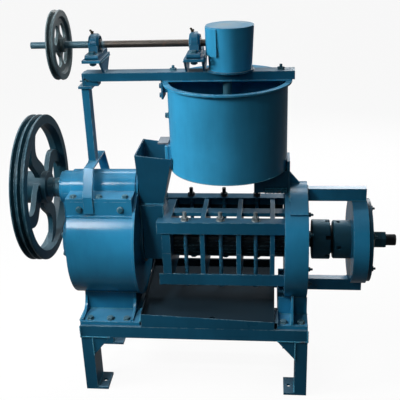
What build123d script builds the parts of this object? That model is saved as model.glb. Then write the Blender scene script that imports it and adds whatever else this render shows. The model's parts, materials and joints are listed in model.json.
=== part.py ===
"""Screw oil press with a cooking pot, a stirrer drive and a geared screw.

Millimetres. X runs along the screw from the belt wheel to the cake end, Y away from the
working side, Z up. The origin is on the floor under the middle of the stand.
"""
from build123d import *
from math import acos, cos, pi, radians, sin, sqrt, tan
import os

os.makedirs("parts", exist_ok=True)

# Fits and gaps
running = 0.05
seat_gap = 0.3
split_gap = 0.6
key_gap = 0.1

# Stand
stand_length = 702
stand_width = 330
stand_height = 238
rail_size = 40
rail_wall = 4
leg_face = 37
leg_depth = 80
leg_wall = 5
foot_reach = 34
foot_thick = 8
foot_hole_r = 7
bolt_gap = 0.2
gusset_run = 55
gusset_drop = 66
gusset_thick = 5

# Heights of the three shafts
screw_z = 466
upper_z = 1074.5

# Gear train
gear_module = 4
gear_teeth = 70
pinion_teeth = 15
pressure_angle = 20
gear_face = 60
pinion_extra = 2
tooth_backlash = 0.24
drive_z = screw_z + gear_module * (gear_teeth + pinion_teeth) / 2

# Gear housing
housing_left = -366
housing_right = -168
drum_r = 172
drum_wall = 6
end_wall = 10
neck_half = 118
neck_wall = 12
cap_r = 57
cap_wall = 6
cap_flange = 10
housing_disc_r = 178
housing_disc_thick = 8
boss_reach = 30
main_boss_r = 80
pinion_boss_r = 52
main_bearing_r = 55
main_bearing_width = 22
quill_r = 30
pinion_bearing_r = 36
pinion_bearing_width = 17
pinion_journal_r = 17.5
cover_thick = 8
boss_bridge = 84

# Pedestal under the gear housing
base_plate_thick = 12
base_plate_half = 157
pedestal_half = 79
pedestal_wall = 8

# Belt wheel on the drive shaft
wheel_r = 225
wheel_left = -495
wheel_width = 44.5
wheel_rim_depth = 28
wheel_hub_r = 50
wheel_hub_left = -523
wheel_hub_right = -448
wheel_arms = 4
wheel_arm_thick = 16
wheel_bore_r = 16
groove_pitch = 19
groove_top = 16
groove_depth = 14
groove_angle = 17

# Feed and press barrel
throat_left = -156
throat_right = -87
throat_half = 36
throat_top = 596
throat_wall = 6
screw_r = 40.4
barrel_in_r = 41
barrel_out_r = 53
bar_count = 24
bar_slit = 0.9
rib_places = (-87, 28, 136, 236)
rib_thicks = (26, 14, 14, 14)
cage_half = 115
cage_rise = 104
cage_angle = 37
cage_wall = 4
rod_r = 6
rod_half = 96
rod_places = (-16.5, 89, 193.5)
crown_half = 18
crown_thick = 12

# Discharge ring and thrust end
ring_left = 279
ring_right = 347
ring_r = 178.7
ring_wall = 10
ring_mouth_r = 120
cake_ring_r = 70
arm_height = 39
arm_width = 25
arm_end = 521
end_ring_left = 478.3
end_ring_width = 45
end_ring_r = 133
end_cover_thick = 12
end_cover_r = 127
sleeve_r = 43
sleeve_left = 362.5
sleeve_right = 536
shaft_r = 25
thread_r = 17.2
shaft_tip = 617.6

# Upper works
pot_x = 112
pot_r = 172.6
pot_wall = 4
pot_floor_z = 711
pot_floor_thick = 6
pot_rim_z = 969
pot_rim_width = 12
pot_rim_thick = 5
lid_thick = 4
beam_left = -300
beam_right = 303
beam_half = 24
beam_height = 24
beam_wall = 4
post_x = -300
post_width = 22
post_depth = 35
post_top = 951
post_wall = 3
bridge_x = -297
bridge_width = 28
bridge_thick = 6
bridge_top = 728
bridge_top_half = 77
upper_shaft_r = 10
upper_shaft_left = -450
upper_end_r = 9.5
upper_end_length = 60
upper_wheel_x = -367
upper_wheel_r = 98.5
upper_wheel_width = 22
pillow_rise = 33.3
pillow_places = (-262, 24)
bevel_cap_x = 122
bevel_cap_r = 67.4
bevel_cap_top = 1123
bevel_module = 3
bevel_gear_teeth = 28
bevel_pinion_teeth = 14
stirrer_r = 12.5


def save(builder, name):
    """Label a finished piece and write it out under its own name."""
    builder.part.label = name
    export_step(builder.part, "parts/" + name + ".step")


def cross(x):
    """A sketch plane square to the screw, whose axes are Y and Z."""
    return Plane.YZ.offset(x)


def shaft_plane(x, z):
    """A sketch plane square to X whose centre lies on the X line at height z."""
    return Plane(origin=(x, 0, z), x_dir=(0, 1, 0), z_dir=(1, 0, 0))


def front(y):
    """A sketch plane that faces the working side, whose axes are X and Z."""
    return Plane(origin=(0, y, 0), x_dir=(1, 0, 0), z_dir=(0, -1, 0))


def slab(x, y, z, mode=Mode.ADD):
    """Add or cut the box between two limits on each axis."""
    with Locations(((x[0] + x[1]) / 2, (y[0] + y[1]) / 2, (z[0] + z[1]) / 2)):
        Box(x[1] - x[0], y[1] - y[0], z[1] - z[0], mode=mode)


def bar(start, direction, radius, length, mode=Mode.ADD):
    """Add or cut a round bar that starts at a point and runs along a direction."""
    with Locations(Plane(origin=start, z_dir=direction)):
        Cylinder(radius, length, align=(Align.CENTER, Align.CENTER, Align.MIN), mode=mode)


def disc_x(x, radius, z, mode=Mode.ADD):
    """Add or cut a round disc on the X line at height z, between two places on X."""
    bar((x[0], 0, z), (1, 0, 0), radius, x[1] - x[0], mode)


def turn(points, z, mode=Mode.ADD):
    """Add or cut a solid turned about the X line at height z, from (x, radius) points."""
    with BuildSketch(Plane.XZ) as profile:
        with BuildLine():
            Polyline(*[(x, z + r) for x, r in points], close=True)
        make_face()
    revolve(profile.sketch, axis=Axis((0, 0, z), (1, 0, 0)), mode=mode)


def turn_up(points, x, mode=Mode.ADD, arc=360, start=0):
    """Add or cut a solid turned about an upright line at x, from (radius, z) points."""
    with BuildSketch(Plane.XZ.rotated((0, 0, start)) if start else Plane.XZ) as profile:
        with BuildLine():
            Polyline(*points, close=True)
        make_face()
    with Locations((x, 0, 0)):
        add(revolve(profile.sketch, axis=Axis.Z, revolution_arc=arc, mode=Mode.PRIVATE), mode=mode)


def outline(plane, points, thickness, mode=Mode.ADD):
    """Add or cut a plate with straight edges, drawn on a plane."""
    with BuildSketch(plane) as shape:
        with BuildLine():
            Polyline(*points, close=True)
        make_face()
    extrude(shape.sketch, amount=thickness, mode=mode)


def hexagon(start, direction, across, height):
    """Add a hexagon head or nut that stands on a point."""
    with BuildSketch(Plane(origin=start, z_dir=direction)) as shape:
        RegularPolygon(across / 2, 6, major_radius=False)
    extrude(shape.sketch, amount=height)


def bolt(start, direction, across, shank):
    """Add a hexagon bolt: the head stands on a point and the shank runs back from it."""
    hexagon(start, direction, across, 0.42 * across)
    bar(start, [-d for d in direction], across / 3.2, shank)


def bolt_hole(start, direction, across, depth):
    """Cut the clearance hole of a bolt whose head stands on a point."""
    bar(start, [-d for d in direction], across / 3.2 + bolt_gap, depth, Mode.SUBTRACT)


# Places and sizes of the bolts
ring_flange_x = (ring_left - 20, ring_right + 4)
base_bolt_y = 140
gear_bolt_places = (-322, -258, -206)
ring_bolt_places = (278, 330)
base_bolt_size = 18
cap_bolt_size = 16
cap_bolt_y = 105
cap_bolt_places = (-345, -267, -189)
neck_bolt_places = (-327, -203)
neck_bolt_z = 612
main_cover_bolts = [(64, angle) for angle in range(30, 390, 60)]
pinion_cover_bolts = [(42.5, angle) for angle in range(45, 405, 90)]
end_bolt_size = 16
end_bolt_circle = 104
pillow_bolt_size = 17
pillow_bolt_y = 47.5
beam_bolt_places = (-42, 264)


def base_holes(places):
    """Cut the holes for the bolts that hold a base plate on the rails."""
    for x in places:
        for y in (-base_bolt_y, base_bolt_y):
            bolt_hole((x, y, stand_height + 40), (0, 0, 1), base_bolt_size, 80)


def cap_holes():
    """Cut the holes for the bolts that hold the gear housing cap down."""
    for x in cap_bolt_places:
        for y in (-cap_bolt_y, cap_bolt_y):
            bolt_hole((x, y, drive_z + cap_flange), (0, 0, 1), cap_bolt_size, 22)


def cover_holes(x, depth):
    """Cut the holes for the bolts of both bearing covers."""
    for z, across, places in ((screw_z, 13, main_cover_bolts), (drive_z, 10, pinion_cover_bolts)):
        for radius, angle in places:
            y, dz = radius * cos(radians(angle)), radius * sin(radians(angle))
            bolt_hole((x, y, z + dz), (-1, 0, 0), across, depth)


# Stand: angle rails welded on four channel legs
rail_y = stand_width / 2
rail_x = stand_length / 2
leg_height = stand_height - rail_size

with BuildPart() as stand_rails:
    for side in (-1, 1):
        ys = sorted((side * rail_y, side * (rail_y - rail_wall)))
        slab((-rail_x, rail_x), ys, (leg_height, stand_height))
        ys = sorted((side * rail_y, side * (rail_y - rail_size)))
        slab((-rail_x, rail_x), ys, (stand_height - rail_wall, stand_height))
        xs = sorted((side * rail_x, side * (rail_x - rail_wall)))
        slab(xs, (-rail_y, rail_y), (leg_height, stand_height))
        xs = sorted((side * rail_x, side * (rail_x - rail_size)))
        slab(xs, (-rail_y, rail_y), (stand_height - rail_wall, stand_height))
    base_holes(gear_bolt_places + ring_bolt_places)
save(stand_rails, "stand_rails")

# Each leg is a channel with its web turned inwards
with BuildPart() as stand_legs:
    with BuildSketch():
        for sx in (-1, 1):
            for sy in (-1, 1):
                with Locations((sx * (rail_x - leg_face / 2), sy * (rail_y - leg_depth / 2))):
                    Rectangle(leg_face, leg_depth)
                open_x = sx * (rail_x - (leg_face - leg_wall) / 2)
                with Locations((open_x, sy * (rail_y - leg_depth / 2))):
                    Rectangle(leg_face - leg_wall, leg_depth - 2 * leg_wall, mode=Mode.SUBTRACT)
    extrude(amount=leg_height)
save(stand_legs, "stand_legs")

# Corner plates in the front and back of the stand
leg_in = rail_x - leg_face
with BuildPart() as stand_gussets:
    for sx in (-1, 1):
        for y in (-rail_y, rail_y - gusset_thick):
            corner = [(sx * leg_in, leg_height), (sx * leg_in, leg_height - gusset_drop),
                      (sx * (leg_in - gusset_run), leg_height)]
            outline(front(y), corner, -gusset_thick)
save(stand_gussets, "stand_gussets")

# Foot plates inside the legs, each with one bolt hole for the floor
foot_x = leg_in - foot_reach / 2
foot_y = rail_y - leg_depth / 2
with BuildPart() as foot_plates:
    with BuildSketch():
        with GridLocations(2 * foot_x, 2 * foot_y, 2, 2):
            Rectangle(foot_reach, leg_depth)
            Circle(foot_hole_r, mode=Mode.SUBTRACT)
    extrude(amount=foot_thick)
save(foot_plates, "foot_plates")

# Tops of the two base plates that are bolted on the rails
base_z = stand_height + base_plate_thick
gear_base_right = housing_right + 4

# Gearbox pedestal: flared end plates on a base plate, closed in front and behind
pedestal_left = housing_left + 18
pedestal_right = housing_right - 16
pedestal_top = screw_z - 100
flare_half = base_plate_half - 6
flare_low = base_z + 6
flare_high = base_z + 62
flare_middle = (pedestal_half + 15, base_z + 26)
with BuildPart() as gearbox_pedestal:
    slab((-rail_x, gear_base_right), (-base_plate_half, base_plate_half), (stand_height, base_z))
    for x in (pedestal_left, pedestal_right - pedestal_wall):
        with BuildSketch(cross(x)):
            with BuildLine():
                Polyline((0, pedestal_top), (pedestal_half, pedestal_top), (pedestal_half, flare_high))
                ThreePointArc((pedestal_half, flare_high), flare_middle, (flare_half, flare_low))
                Polyline((flare_half, flare_low), (flare_half, base_z), (0, base_z))
                mirror(about=Plane.YZ)
            make_face()
        extrude(amount=pedestal_wall)
    inner = (pedestal_left + pedestal_wall, pedestal_right - pedestal_wall)
    for side in (-1, 1):
        ys = sorted((side * pedestal_half, side * (pedestal_half - pedestal_wall)))
        slab(inner, ys, (base_z, pedestal_top))
    disc_x((housing_left, housing_right), drum_r, screw_z, Mode.SUBTRACT)
    base_holes(gear_bolt_places)
save(gearbox_pedestal, "gearbox_pedestal")

# Lower gear housing: drum, neck and bearing bosses, open at the split line
disc_face = housing_right + housing_disc_thick
boss_left = housing_left - boss_reach
neck_lip = 6
neck_lip_z = screw_z + 120
inside = (housing_left + end_wall, housing_right - end_wall)
with BuildPart() as gear_housing:
    disc_x((housing_left, housing_right), drum_r, screw_z)
    disc_x((housing_right, disc_face), housing_disc_r, screw_z)
    slab((housing_left, housing_right), (-neck_half, neck_half), (screw_z, drive_z))
    slab((housing_left, housing_right), (-neck_half - neck_lip, neck_half + neck_lip),
         (neck_lip_z, neck_lip_z + neck_lip))
    disc_x(inside, drum_r - drum_wall, screw_z, Mode.SUBTRACT)
    slab(inside, (-neck_half + neck_wall, neck_half - neck_wall), (screw_z, drive_z), Mode.SUBTRACT)
    disc_x((boss_left, housing_left), main_boss_r, screw_z)
    disc_x((boss_left, housing_left), pinion_boss_r, drive_z)
    slab((boss_left, housing_left), (-boss_bridge / 2, boss_bridge / 2), (screw_z, drive_z))
    disc_x((housing_right - main_bearing_width - 6, housing_right), main_boss_r, screw_z)
    disc_x((housing_right - pinion_bearing_width - 4, housing_right), pinion_boss_r - 4, drive_z)
    slab((boss_left - 5, disc_face + 5), (-drum_r, drum_r), (drive_z, drive_z + 90), Mode.SUBTRACT)
    disc_x((boss_left - 1, inside[0] + 1), main_bearing_r, screw_z, Mode.SUBTRACT)
    disc_x((inside[1] - 20, housing_right), main_bearing_r, screw_z, Mode.SUBTRACT)
    disc_x((housing_right - 1, disc_face + 1), quill_r + 3, screw_z, Mode.SUBTRACT)
    disc_x((boss_left - 1, inside[0] + 1), pinion_bearing_r, drive_z, Mode.SUBTRACT)
    disc_x((inside[1] - 20, disc_face + 1), pinion_bearing_r, drive_z, Mode.SUBTRACT)
    for side in (-1, 1):
        ys = sorted((side * (neck_half - neck_wall), side * (neck_half - 30)))
        slab(inside, ys, (drive_z - 14, drive_z))
    cap_holes()
    cover_holes(boss_left - cover_thick, cover_thick + 13)
    for x in neck_bolt_places:
        for side in (-1, 1):
            bolt_hole((x, side * neck_half, neck_bolt_z), (0, side, 0), cap_bolt_size, neck_wall)
save(gear_housing, "gear_housing")

# Upper gear housing: half-round cap with flanges, over the pinion
with BuildPart() as gear_housing_cap:
    disc_x((housing_left, housing_right), cap_r, drive_z)
    disc_x((boss_left, housing_left), pinion_boss_r, drive_z)
    disc_x((housing_right, disc_face), pinion_boss_r, drive_z)
    slab((housing_left, housing_right), (-neck_half, neck_half), (drive_z, drive_z + cap_flange))
    disc_x(inside, cap_r - cap_wall, drive_z, Mode.SUBTRACT)
    disc_x((inside[1] - pinion_bearing_width + 6, inside[1]), cap_r - 2, drive_z)
    disc_x((boss_left - 1, inside[0] + 1), pinion_bearing_r, drive_z, Mode.SUBTRACT)
    disc_x((inside[1] - 20, disc_face + 1), pinion_bearing_r, drive_z, Mode.SUBTRACT)
    slab((boss_left - 5, disc_face + 5), (-drum_r, drum_r), (drive_z - 90, drive_z), Mode.SUBTRACT)
    cap_holes()
    cover_holes(boss_left - cover_thick, cover_thick + 13)
save(gear_housing_cap, "gear_housing_cap")

# Bearings: plain rings, two for the quill and two for the drive shaft
main_bearing_places = (boss_left + 6, housing_right - main_bearing_width)
pinion_bearing_places = (boss_left + 6, housing_right - pinion_bearing_width)


def ring(x, outer, inner, z, mode=Mode.ADD):
    """Add or cut a plain ring about the X line at height z, between two places on X."""
    turn([(x[0], inner), (x[0], outer), (x[1], outer), (x[1], inner)], z, mode)


with BuildPart() as gearbox_bearings:
    for x in main_bearing_places:
        ring((x, x + main_bearing_width), main_bearing_r, quill_r + running, screw_z)
    for x in pinion_bearing_places:
        ring((x, x + pinion_bearing_width), pinion_bearing_r, pinion_journal_r + running, drive_z)
save(gearbox_bearings, "gearbox_bearings")

# Bearing covers on the outer faces
with BuildPart() as bearing_covers:
    disc_x((boss_left - cover_thick, boss_left), main_boss_r - 8, screw_z)
    disc_x((boss_left - cover_thick, boss_left), pinion_boss_r - 3, drive_z)
    disc_x((boss_left - cover_thick - 6, boss_left), pinion_journal_r + 9, drive_z)
    disc_x((boss_left - 20, boss_left + 1), pinion_journal_r + seat_gap, drive_z, Mode.SUBTRACT)
    disc_x((housing_right, disc_face), pinion_bearing_r, drive_z)
    cover_holes(boss_left - cover_thick, cover_thick + 1)
save(bearing_covers, "bearing_covers")

with BuildPart() as gearbox_bolts:
    for x in cap_bolt_places:
        for y in (-cap_bolt_y, cap_bolt_y):
            bolt((x, y, drive_z + cap_flange), (0, 0, 1), cap_bolt_size, 20)
    for x in neck_bolt_places:
        for side in (-1, 1):
            bolt((x, side * neck_half, neck_bolt_z), (0, side, 0), cap_bolt_size, neck_wall - 1)
    for z, across, places in ((screw_z, 13, main_cover_bolts), (drive_z, 10, pinion_cover_bolts)):
        for radius, angle in places:
            y, dz = radius * cos(radians(angle)), radius * sin(radians(angle))
            bolt((boss_left - cover_thick, y, z + dz), (-1, 0, 0), across, cover_thick + 12)
save(gearbox_bolts, "gearbox_bolts")

# Involute gear outlines for the pair inside the housing
def tooth_angle(radius, base_r, pitch_half):
    """Half the angle of a tooth at a radius, from the involute of the base circle."""
    rolled = acos(min(1, base_r / radius))
    pressed = radians(pressure_angle)
    return pitch_half + tan(pressed) - pressed - (tan(rolled) - rolled)


def gear_outline(plane, teeth, addendum, phase):
    """The outline of a spur gear, with one tooth centred on the phase angle."""
    pitch_r = gear_module * teeth / 2
    base_r = pitch_r * cos(radians(pressure_angle))
    root_r = pitch_r - 1.25 * gear_module
    tip_r = pitch_r + addendum * gear_module
    low_r = max(base_r, root_r + 0.3)
    pitch_half = pi / (2 * teeth) - tooth_backlash / (2 * pitch_r)

    def at(radius, turn_by):
        return (radius * cos(turn_by), radius * sin(turn_by))

    with BuildSketch(plane) as shape:
        with BuildLine():
            for tooth in range(teeth):
                middle = radians(phase) + tooth * 2 * pi / teeth
                following = middle + 2 * pi / teeth
                low = tooth_angle(low_r, base_r, pitch_half)
                mid_r = (low_r + tip_r) / 2
                half = tooth_angle(mid_r, base_r, pitch_half)
                tip = tooth_angle(tip_r, base_r, pitch_half)
                Line(at(root_r, middle - low), at(low_r, middle - low))
                ThreePointArc(at(low_r, middle - low), at(mid_r, middle - half), at(tip_r, middle - tip))
                Line(at(tip_r, middle - tip), at(tip_r, middle + tip))
                ThreePointArc(at(tip_r, middle + tip), at(mid_r, middle + half), at(low_r, middle + low))
                Line(at(low_r, middle + low), at(root_r, middle + low))
                Line(at(root_r, middle + low), at(root_r, following - low))
        make_face()
    return shape.sketch


# The main gear sits on a hollow quill that turns in the main bearings
gear_middle = (housing_left + housing_right) / 2
gear_left = gear_middle - gear_face / 2
gear_right = gear_middle + gear_face / 2
quill_left = boss_left + 4
quill_bore = 22.5
key_width = 14
key_rise = 26.5
gear_rim_in = 120
gear_hub_r = 48
gear_recess = 20
with BuildPart() as main_gear:
    extrude(gear_outline(shaft_plane(gear_left, screw_z), gear_teeth, 0.95, 90 + 180 / gear_teeth),
            amount=gear_face)
    for x in ((gear_left, gear_left + gear_recess), (gear_right - gear_recess, gear_right)):
        disc_x(x, gear_rim_in, screw_z, Mode.SUBTRACT)
        disc_x(x, gear_hub_r, screw_z)
    disc_x((quill_left, disc_face), quill_r, screw_z)
    disc_x((quill_left - 1, disc_face + 1), quill_bore + running, screw_z, Mode.SUBTRACT)
    slab((quill_left - 1, disc_face + 1), (-key_width / 2, key_width / 2),
         (screw_z, screw_z + key_rise), Mode.SUBTRACT)
    with BuildSketch(shaft_plane(gear_left, screw_z)):
        with PolarLocations((gear_rim_in + gear_hub_r) / 2, 5):
            Circle(20)
    extrude(amount=gear_face, mode=Mode.SUBTRACT)
save(main_gear, "main_gear")

# The drive shaft carries the pinion, cut in one piece with it
pinion_left = gear_left - pinion_extra
pinion_right = gear_right + pinion_extra
shaft_left = wheel_hub_left - 5
shoulder_r = 22
shoulder_gap = 14
wheel_key_half = 5
wheel_key_low = drive_z + 11
wheel_key_x = (wheel_hub_left + 4, wheel_hub_right - 8)
with BuildPart() as pinion_shaft:
    extrude(gear_outline(shaft_plane(pinion_left, drive_z), pinion_teeth, 1.0, 270),
            amount=pinion_right - pinion_left)
    turn([(shaft_left, 0), (shaft_left, wheel_bore_r - 1), (shaft_left + 1, wheel_bore_r),
          (wheel_hub_right, wheel_bore_r), (wheel_hub_right, pinion_journal_r),
          (inside[0], pinion_journal_r), (inside[0], shoulder_r),
          (inside[1] - shoulder_gap, shoulder_r), (inside[1] - shoulder_gap, pinion_journal_r),
          (housing_right, pinion_journal_r),
          (housing_right, 0)], drive_z)
    slab((shaft_left - 1, wheel_key_x[1]), (-wheel_key_half, wheel_key_half),
         (wheel_key_low, drive_z + wheel_bore_r + 1), Mode.SUBTRACT)
save(pinion_shaft, "pinion_shaft")

# Grooved belt wheel with four bowed arms
wheel_middle = wheel_left + wheel_width / 2
wheel_right = wheel_left + wheel_width
wheel_key_rise = 19.3
arm_bow = 27


def groove_points(middle, radius, top, depth):
    """The four corners of a belt groove, from left to right."""
    lean = depth * tan(radians(groove_angle))
    return [(middle - top / 2, radius), (middle - top / 2 + lean, radius - depth),
            (middle + top / 2 - lean, radius - depth), (middle + top / 2, radius)]


def arm_outline(plane, start, inner, outer, widths):
    """The outline of one wheel arm, bowed to one side between hub and rim."""
    steps = 5
    sides = ([], [])
    for step in range(steps):
        u = step / (steps - 1)
        radius = inner + (outer - inner) * u
        middle = radians(start + arm_bow * sin(pi * u))
        half = (widths[0] + (widths[1] - widths[0]) * u - 12 * sin(pi * u)) / (2 * radius)
        for side, sign in zip(sides, (-1, 1)):
            angle = middle + sign * half
            side.append((radius * cos(angle), radius * sin(angle)))
    with BuildSketch(plane) as shape:
        with BuildLine():
            Spline(*sides[0])
            Line(sides[0][-1], sides[1][-1])
            Spline(*reversed(sides[1]))
            Line(sides[1][0], sides[0][0])
        make_face()
    return shape.sketch


rim_in = wheel_r - wheel_rim_depth
with BuildPart() as big_wheel:
    turn([(wheel_left, rim_in), (wheel_left, wheel_r - 1.5), (wheel_left + 1.5, wheel_r)]
         + groove_points(wheel_middle - groove_pitch / 2, wheel_r, groove_top, groove_depth)
         + groove_points(wheel_middle + groove_pitch / 2, wheel_r, groove_top, groove_depth)
         + [(wheel_right - 1.5, wheel_r), (wheel_right, wheel_r - 1.5), (wheel_right, rim_in),
            (wheel_middle, rim_in - 5)], drive_z)
    disc_x((wheel_hub_left, wheel_hub_right), wheel_hub_r, drive_z)
    arm_plane = shaft_plane(wheel_middle - wheel_arm_thick / 2, drive_z)
    for arm in range(wheel_arms):
        shape = arm_outline(arm_plane, 90 + 360 * arm / wheel_arms, wheel_hub_r - 4, rim_in + 3, (58, 56))
        extrude(shape, amount=wheel_arm_thick)
    disc_x((wheel_hub_left - 1, wheel_hub_right + 1), wheel_bore_r, drive_z, Mode.SUBTRACT)
    slab((wheel_hub_left - 1, wheel_hub_right + 1), (-wheel_key_half, wheel_key_half),
         (drive_z, drive_z + wheel_key_rise), Mode.SUBTRACT)
save(big_wheel, "big_wheel")

with BuildPart() as wheel_key:
    slab(wheel_key_x, (-wheel_key_half + key_gap, wheel_key_half - key_gap),
         (wheel_key_low, drive_z + wheel_key_rise - seat_gap))
save(wheel_key, "wheel_key")

# Grooved collar between the wheel hub and the bearing cover
collar_r = 30
collar_neck_r = 26
collar_right = boss_left - cover_thick - 7
collar_groove = (-430, -422)
with BuildPart() as shaft_collar:
    ring((wheel_hub_right, collar_right), collar_r, pinion_journal_r, drive_z)
    ring(collar_groove, collar_r + 1, collar_neck_r, drive_z, Mode.SUBTRACT)
save(shaft_collar, "shaft_collar")

# Strap bridge over the housing, and the post that stands on it
foot_z = 600
bend_z = 652
bridge_inner = [(neck_half, foot_z), (neck_half, bend_z - 2),
                (bridge_top_half - 1, bridge_top - bridge_thick)]
bridge_outer = [(bridge_top_half + 3, bridge_top), (neck_half + bridge_thick, bend_z),
                (neck_half + bridge_thick, foot_z)]
with BuildPart() as bridge:
    half = bridge_inner + [(0, bridge_top - bridge_thick), (0, bridge_top)] + bridge_outer
    outline(cross(bridge_x - bridge_width / 2), half, bridge_width)
    mirror(about=Plane.XZ)
save(bridge, "bridge")

# The post carries a head plate with a pad and a stop for the end of the beam
beam_bottom = pot_rim_z + lid_thick
beam_top = beam_bottom + beam_height
head_top = post_top + 7
with BuildPart() as upright_post:
    with BuildSketch(Plane.XY.offset(bridge_top)):
        with Locations((post_x, 0)):
            Rectangle(post_width, post_depth)
            Rectangle(post_width - 2 * post_wall, post_depth - 2 * post_wall, mode=Mode.SUBTRACT)
    extrude(amount=post_top - bridge_top)
    slab((post_x - 19, post_x + 22), (-22, 22), (post_top, head_top))
    slab((beam_left, beam_left + 40), (-18, 18), (head_top, beam_bottom))
    slab((beam_left - 6, beam_left), (-20, 20), (head_top, beam_top - 2))
save(upright_post, "upright_post")

with BuildPart() as top_beam:
    slab((beam_left, beam_right), (-beam_half, beam_half), (beam_bottom, beam_top))
    slab((beam_left - 1, beam_right + 1), (-beam_half + beam_wall, beam_half - beam_wall),
         (beam_bottom - 1, beam_top - beam_wall), Mode.SUBTRACT)
    outline(front(-beam_half - 1), [(beam_left - 1, beam_bottom - 1), (beam_left - 1, beam_bottom + 11),
            (beam_left + 24, beam_bottom - 1)], -2 * beam_half - 2, Mode.SUBTRACT)
    bar((pot_x, 0, beam_bottom), (0, 0, 1), stirrer_r + 1, 40, Mode.SUBTRACT)
    for x in beam_bolt_places:
        bolt_hole((x, 0, beam_top + 1), (0, 0, 1), pillow_bolt_size, 50)
save(top_beam, "top_beam")

# Bearing shelves that stand on the beam, and their pillow blocks
shelf_top = upper_z - pillow_rise
shelf_thick = 8
shelf_half = 64
left_shelf = (-290, -237)
right_shelf = (-4, 52)
web_thick = 6


def pillow_holes():
    """Cut the holes for the bolts of both pillow blocks."""
    for x in pillow_places:
        for y in (-pillow_bolt_y, pillow_bolt_y):
            bolt_hole((x, y, shelf_top + 30), (0, 0, 1), pillow_bolt_size, 50)


def shelf(x, webs):
    """Add a shelf plate and the tapered web plates that carry it on the beam."""
    slab(x, (-shelf_half, shelf_half), (shelf_top - shelf_thick, shelf_top))
    for web in webs:
        outline(cross(web), [(-beam_half + 2, beam_top), (-shelf_half + 4, shelf_top - shelf_thick),
                (shelf_half - 4, shelf_top - shelf_thick), (beam_half - 2, beam_top)], web_thick)
    pillow_holes()


with BuildPart() as bearing_shelves:
    shelf(left_shelf, [left_shelf[1] - web_thick])
    shelf(right_shelf, [right_shelf[0], right_shelf[1] - web_thick])
save(bearing_shelves, "bearing_shelves")

pillow_foot_half = 62
pillow_foot_width = 19
pillow_foot_thick = 14
pillow_r = 31
pillow_insert_r = 23
pillow_insert_half = 7
inner_ring_r = 15
inner_ring_half = 17
pillow_body_half = 13
with BuildPart() as pillow_blocks:
    for x in pillow_places:
        with BuildSketch(cross(x - pillow_foot_width)):
            with Locations((0, shelf_top + pillow_foot_thick / 2)):
                SlotOverall(2 * pillow_foot_half, pillow_foot_thick)
                Rectangle(2 * pillow_foot_half - 10, pillow_foot_thick)
        extrude(amount=2 * pillow_foot_width)
        outline(cross(x - pillow_body_half),
                [(-36, shelf_top + 12), (-pillow_r, upper_z), (pillow_r, upper_z), (36, shelf_top + 12)],
                2 * pillow_body_half)
        turn([(x - 15, 0), (x - 15, pillow_r - 6), (x - 9, pillow_r), (x + 9, pillow_r),
              (x + 15, pillow_r - 6), (x + 15, 0)], upper_z)
        disc_x((x - 20, x + 20), pillow_insert_r, upper_z, Mode.SUBTRACT)
    pillow_holes()
save(pillow_blocks, "pillow_blocks")

with BuildPart() as grease_nipples:
    for x in pillow_places:
        bar((x - 3, 0, upper_z + pillow_r - 3), (-0.5, 0, 0.87), 2.5, 15)
        hexagon((x - 5, 0, upper_z + pillow_r + 1), (-0.5, 0, 0.87), 9, 5)
        disc_x((x - 20, x + 20), pillow_r, upper_z, Mode.SUBTRACT)
save(grease_nipples, "grease_nipples")

with BuildPart() as pillow_bearings:
    for x in pillow_places:
        ring((x - pillow_insert_half, x + pillow_insert_half), pillow_insert_r, inner_ring_r, upper_z)
        ring((x - inner_ring_half, x + inner_ring_half), inner_ring_r, upper_shaft_r + running, upper_z)
save(pillow_bearings, "pillow_bearings")

# Upper shaft and its belt wheel
bevel_apex = pot_x
upper_shaft_right = bevel_apex - 22
with BuildPart() as upper_shaft:
    turn([(upper_shaft_left, 0), (upper_shaft_left, upper_end_r),
          (upper_shaft_left + upper_end_length, upper_end_r),
          (upper_shaft_left + upper_end_length, upper_shaft_r), (upper_shaft_right, upper_shaft_r),
          (upper_shaft_right, 0)], upper_z)
save(upper_shaft, "upper_shaft")

windows = [CenterArc((0, 0), 48, 90 * window + 30, 30) for window in range(4)]
with BuildPart() as upper_wheel:
    side = upper_wheel_width / 2
    turn([(upper_wheel_x - 4, 0), (upper_wheel_x - 4, upper_wheel_r - 22),
          (upper_wheel_x - side, upper_wheel_r - 18), (upper_wheel_x - side, upper_wheel_r - 1)]
         + groove_points(upper_wheel_x, upper_wheel_r, 14, 12)
         + [(upper_wheel_x + side, upper_wheel_r - 1), (upper_wheel_x + side, upper_wheel_r - 18),
            (upper_wheel_x + 4, upper_wheel_r - 22), (upper_wheel_x + 4, 0)], upper_z)
    disc_x((upper_wheel_x - 17, upper_wheel_x + 17), 20, upper_z)
    with BuildSketch(shaft_plane(upper_wheel_x - side, upper_z)):
        for window in windows:
            SlotArc(window, 34)
    extrude(amount=2 * side, mode=Mode.SUBTRACT)
    disc_x((upper_wheel_x - 20, upper_wheel_x + 20), upper_shaft_r, upper_z, Mode.SUBTRACT)
save(upper_wheel, "upper_wheel")

# Bevel gears: the pitch cones meet where the upper shaft and the stirrer shaft cross
bevel_gear_r = bevel_module * bevel_gear_teeth / 2
bevel_pinion_r = bevel_module * bevel_pinion_teeth / 2
bevel_cone = sqrt(bevel_gear_r ** 2 + bevel_pinion_r ** 2)
bevel_shrink = 0.7


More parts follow.
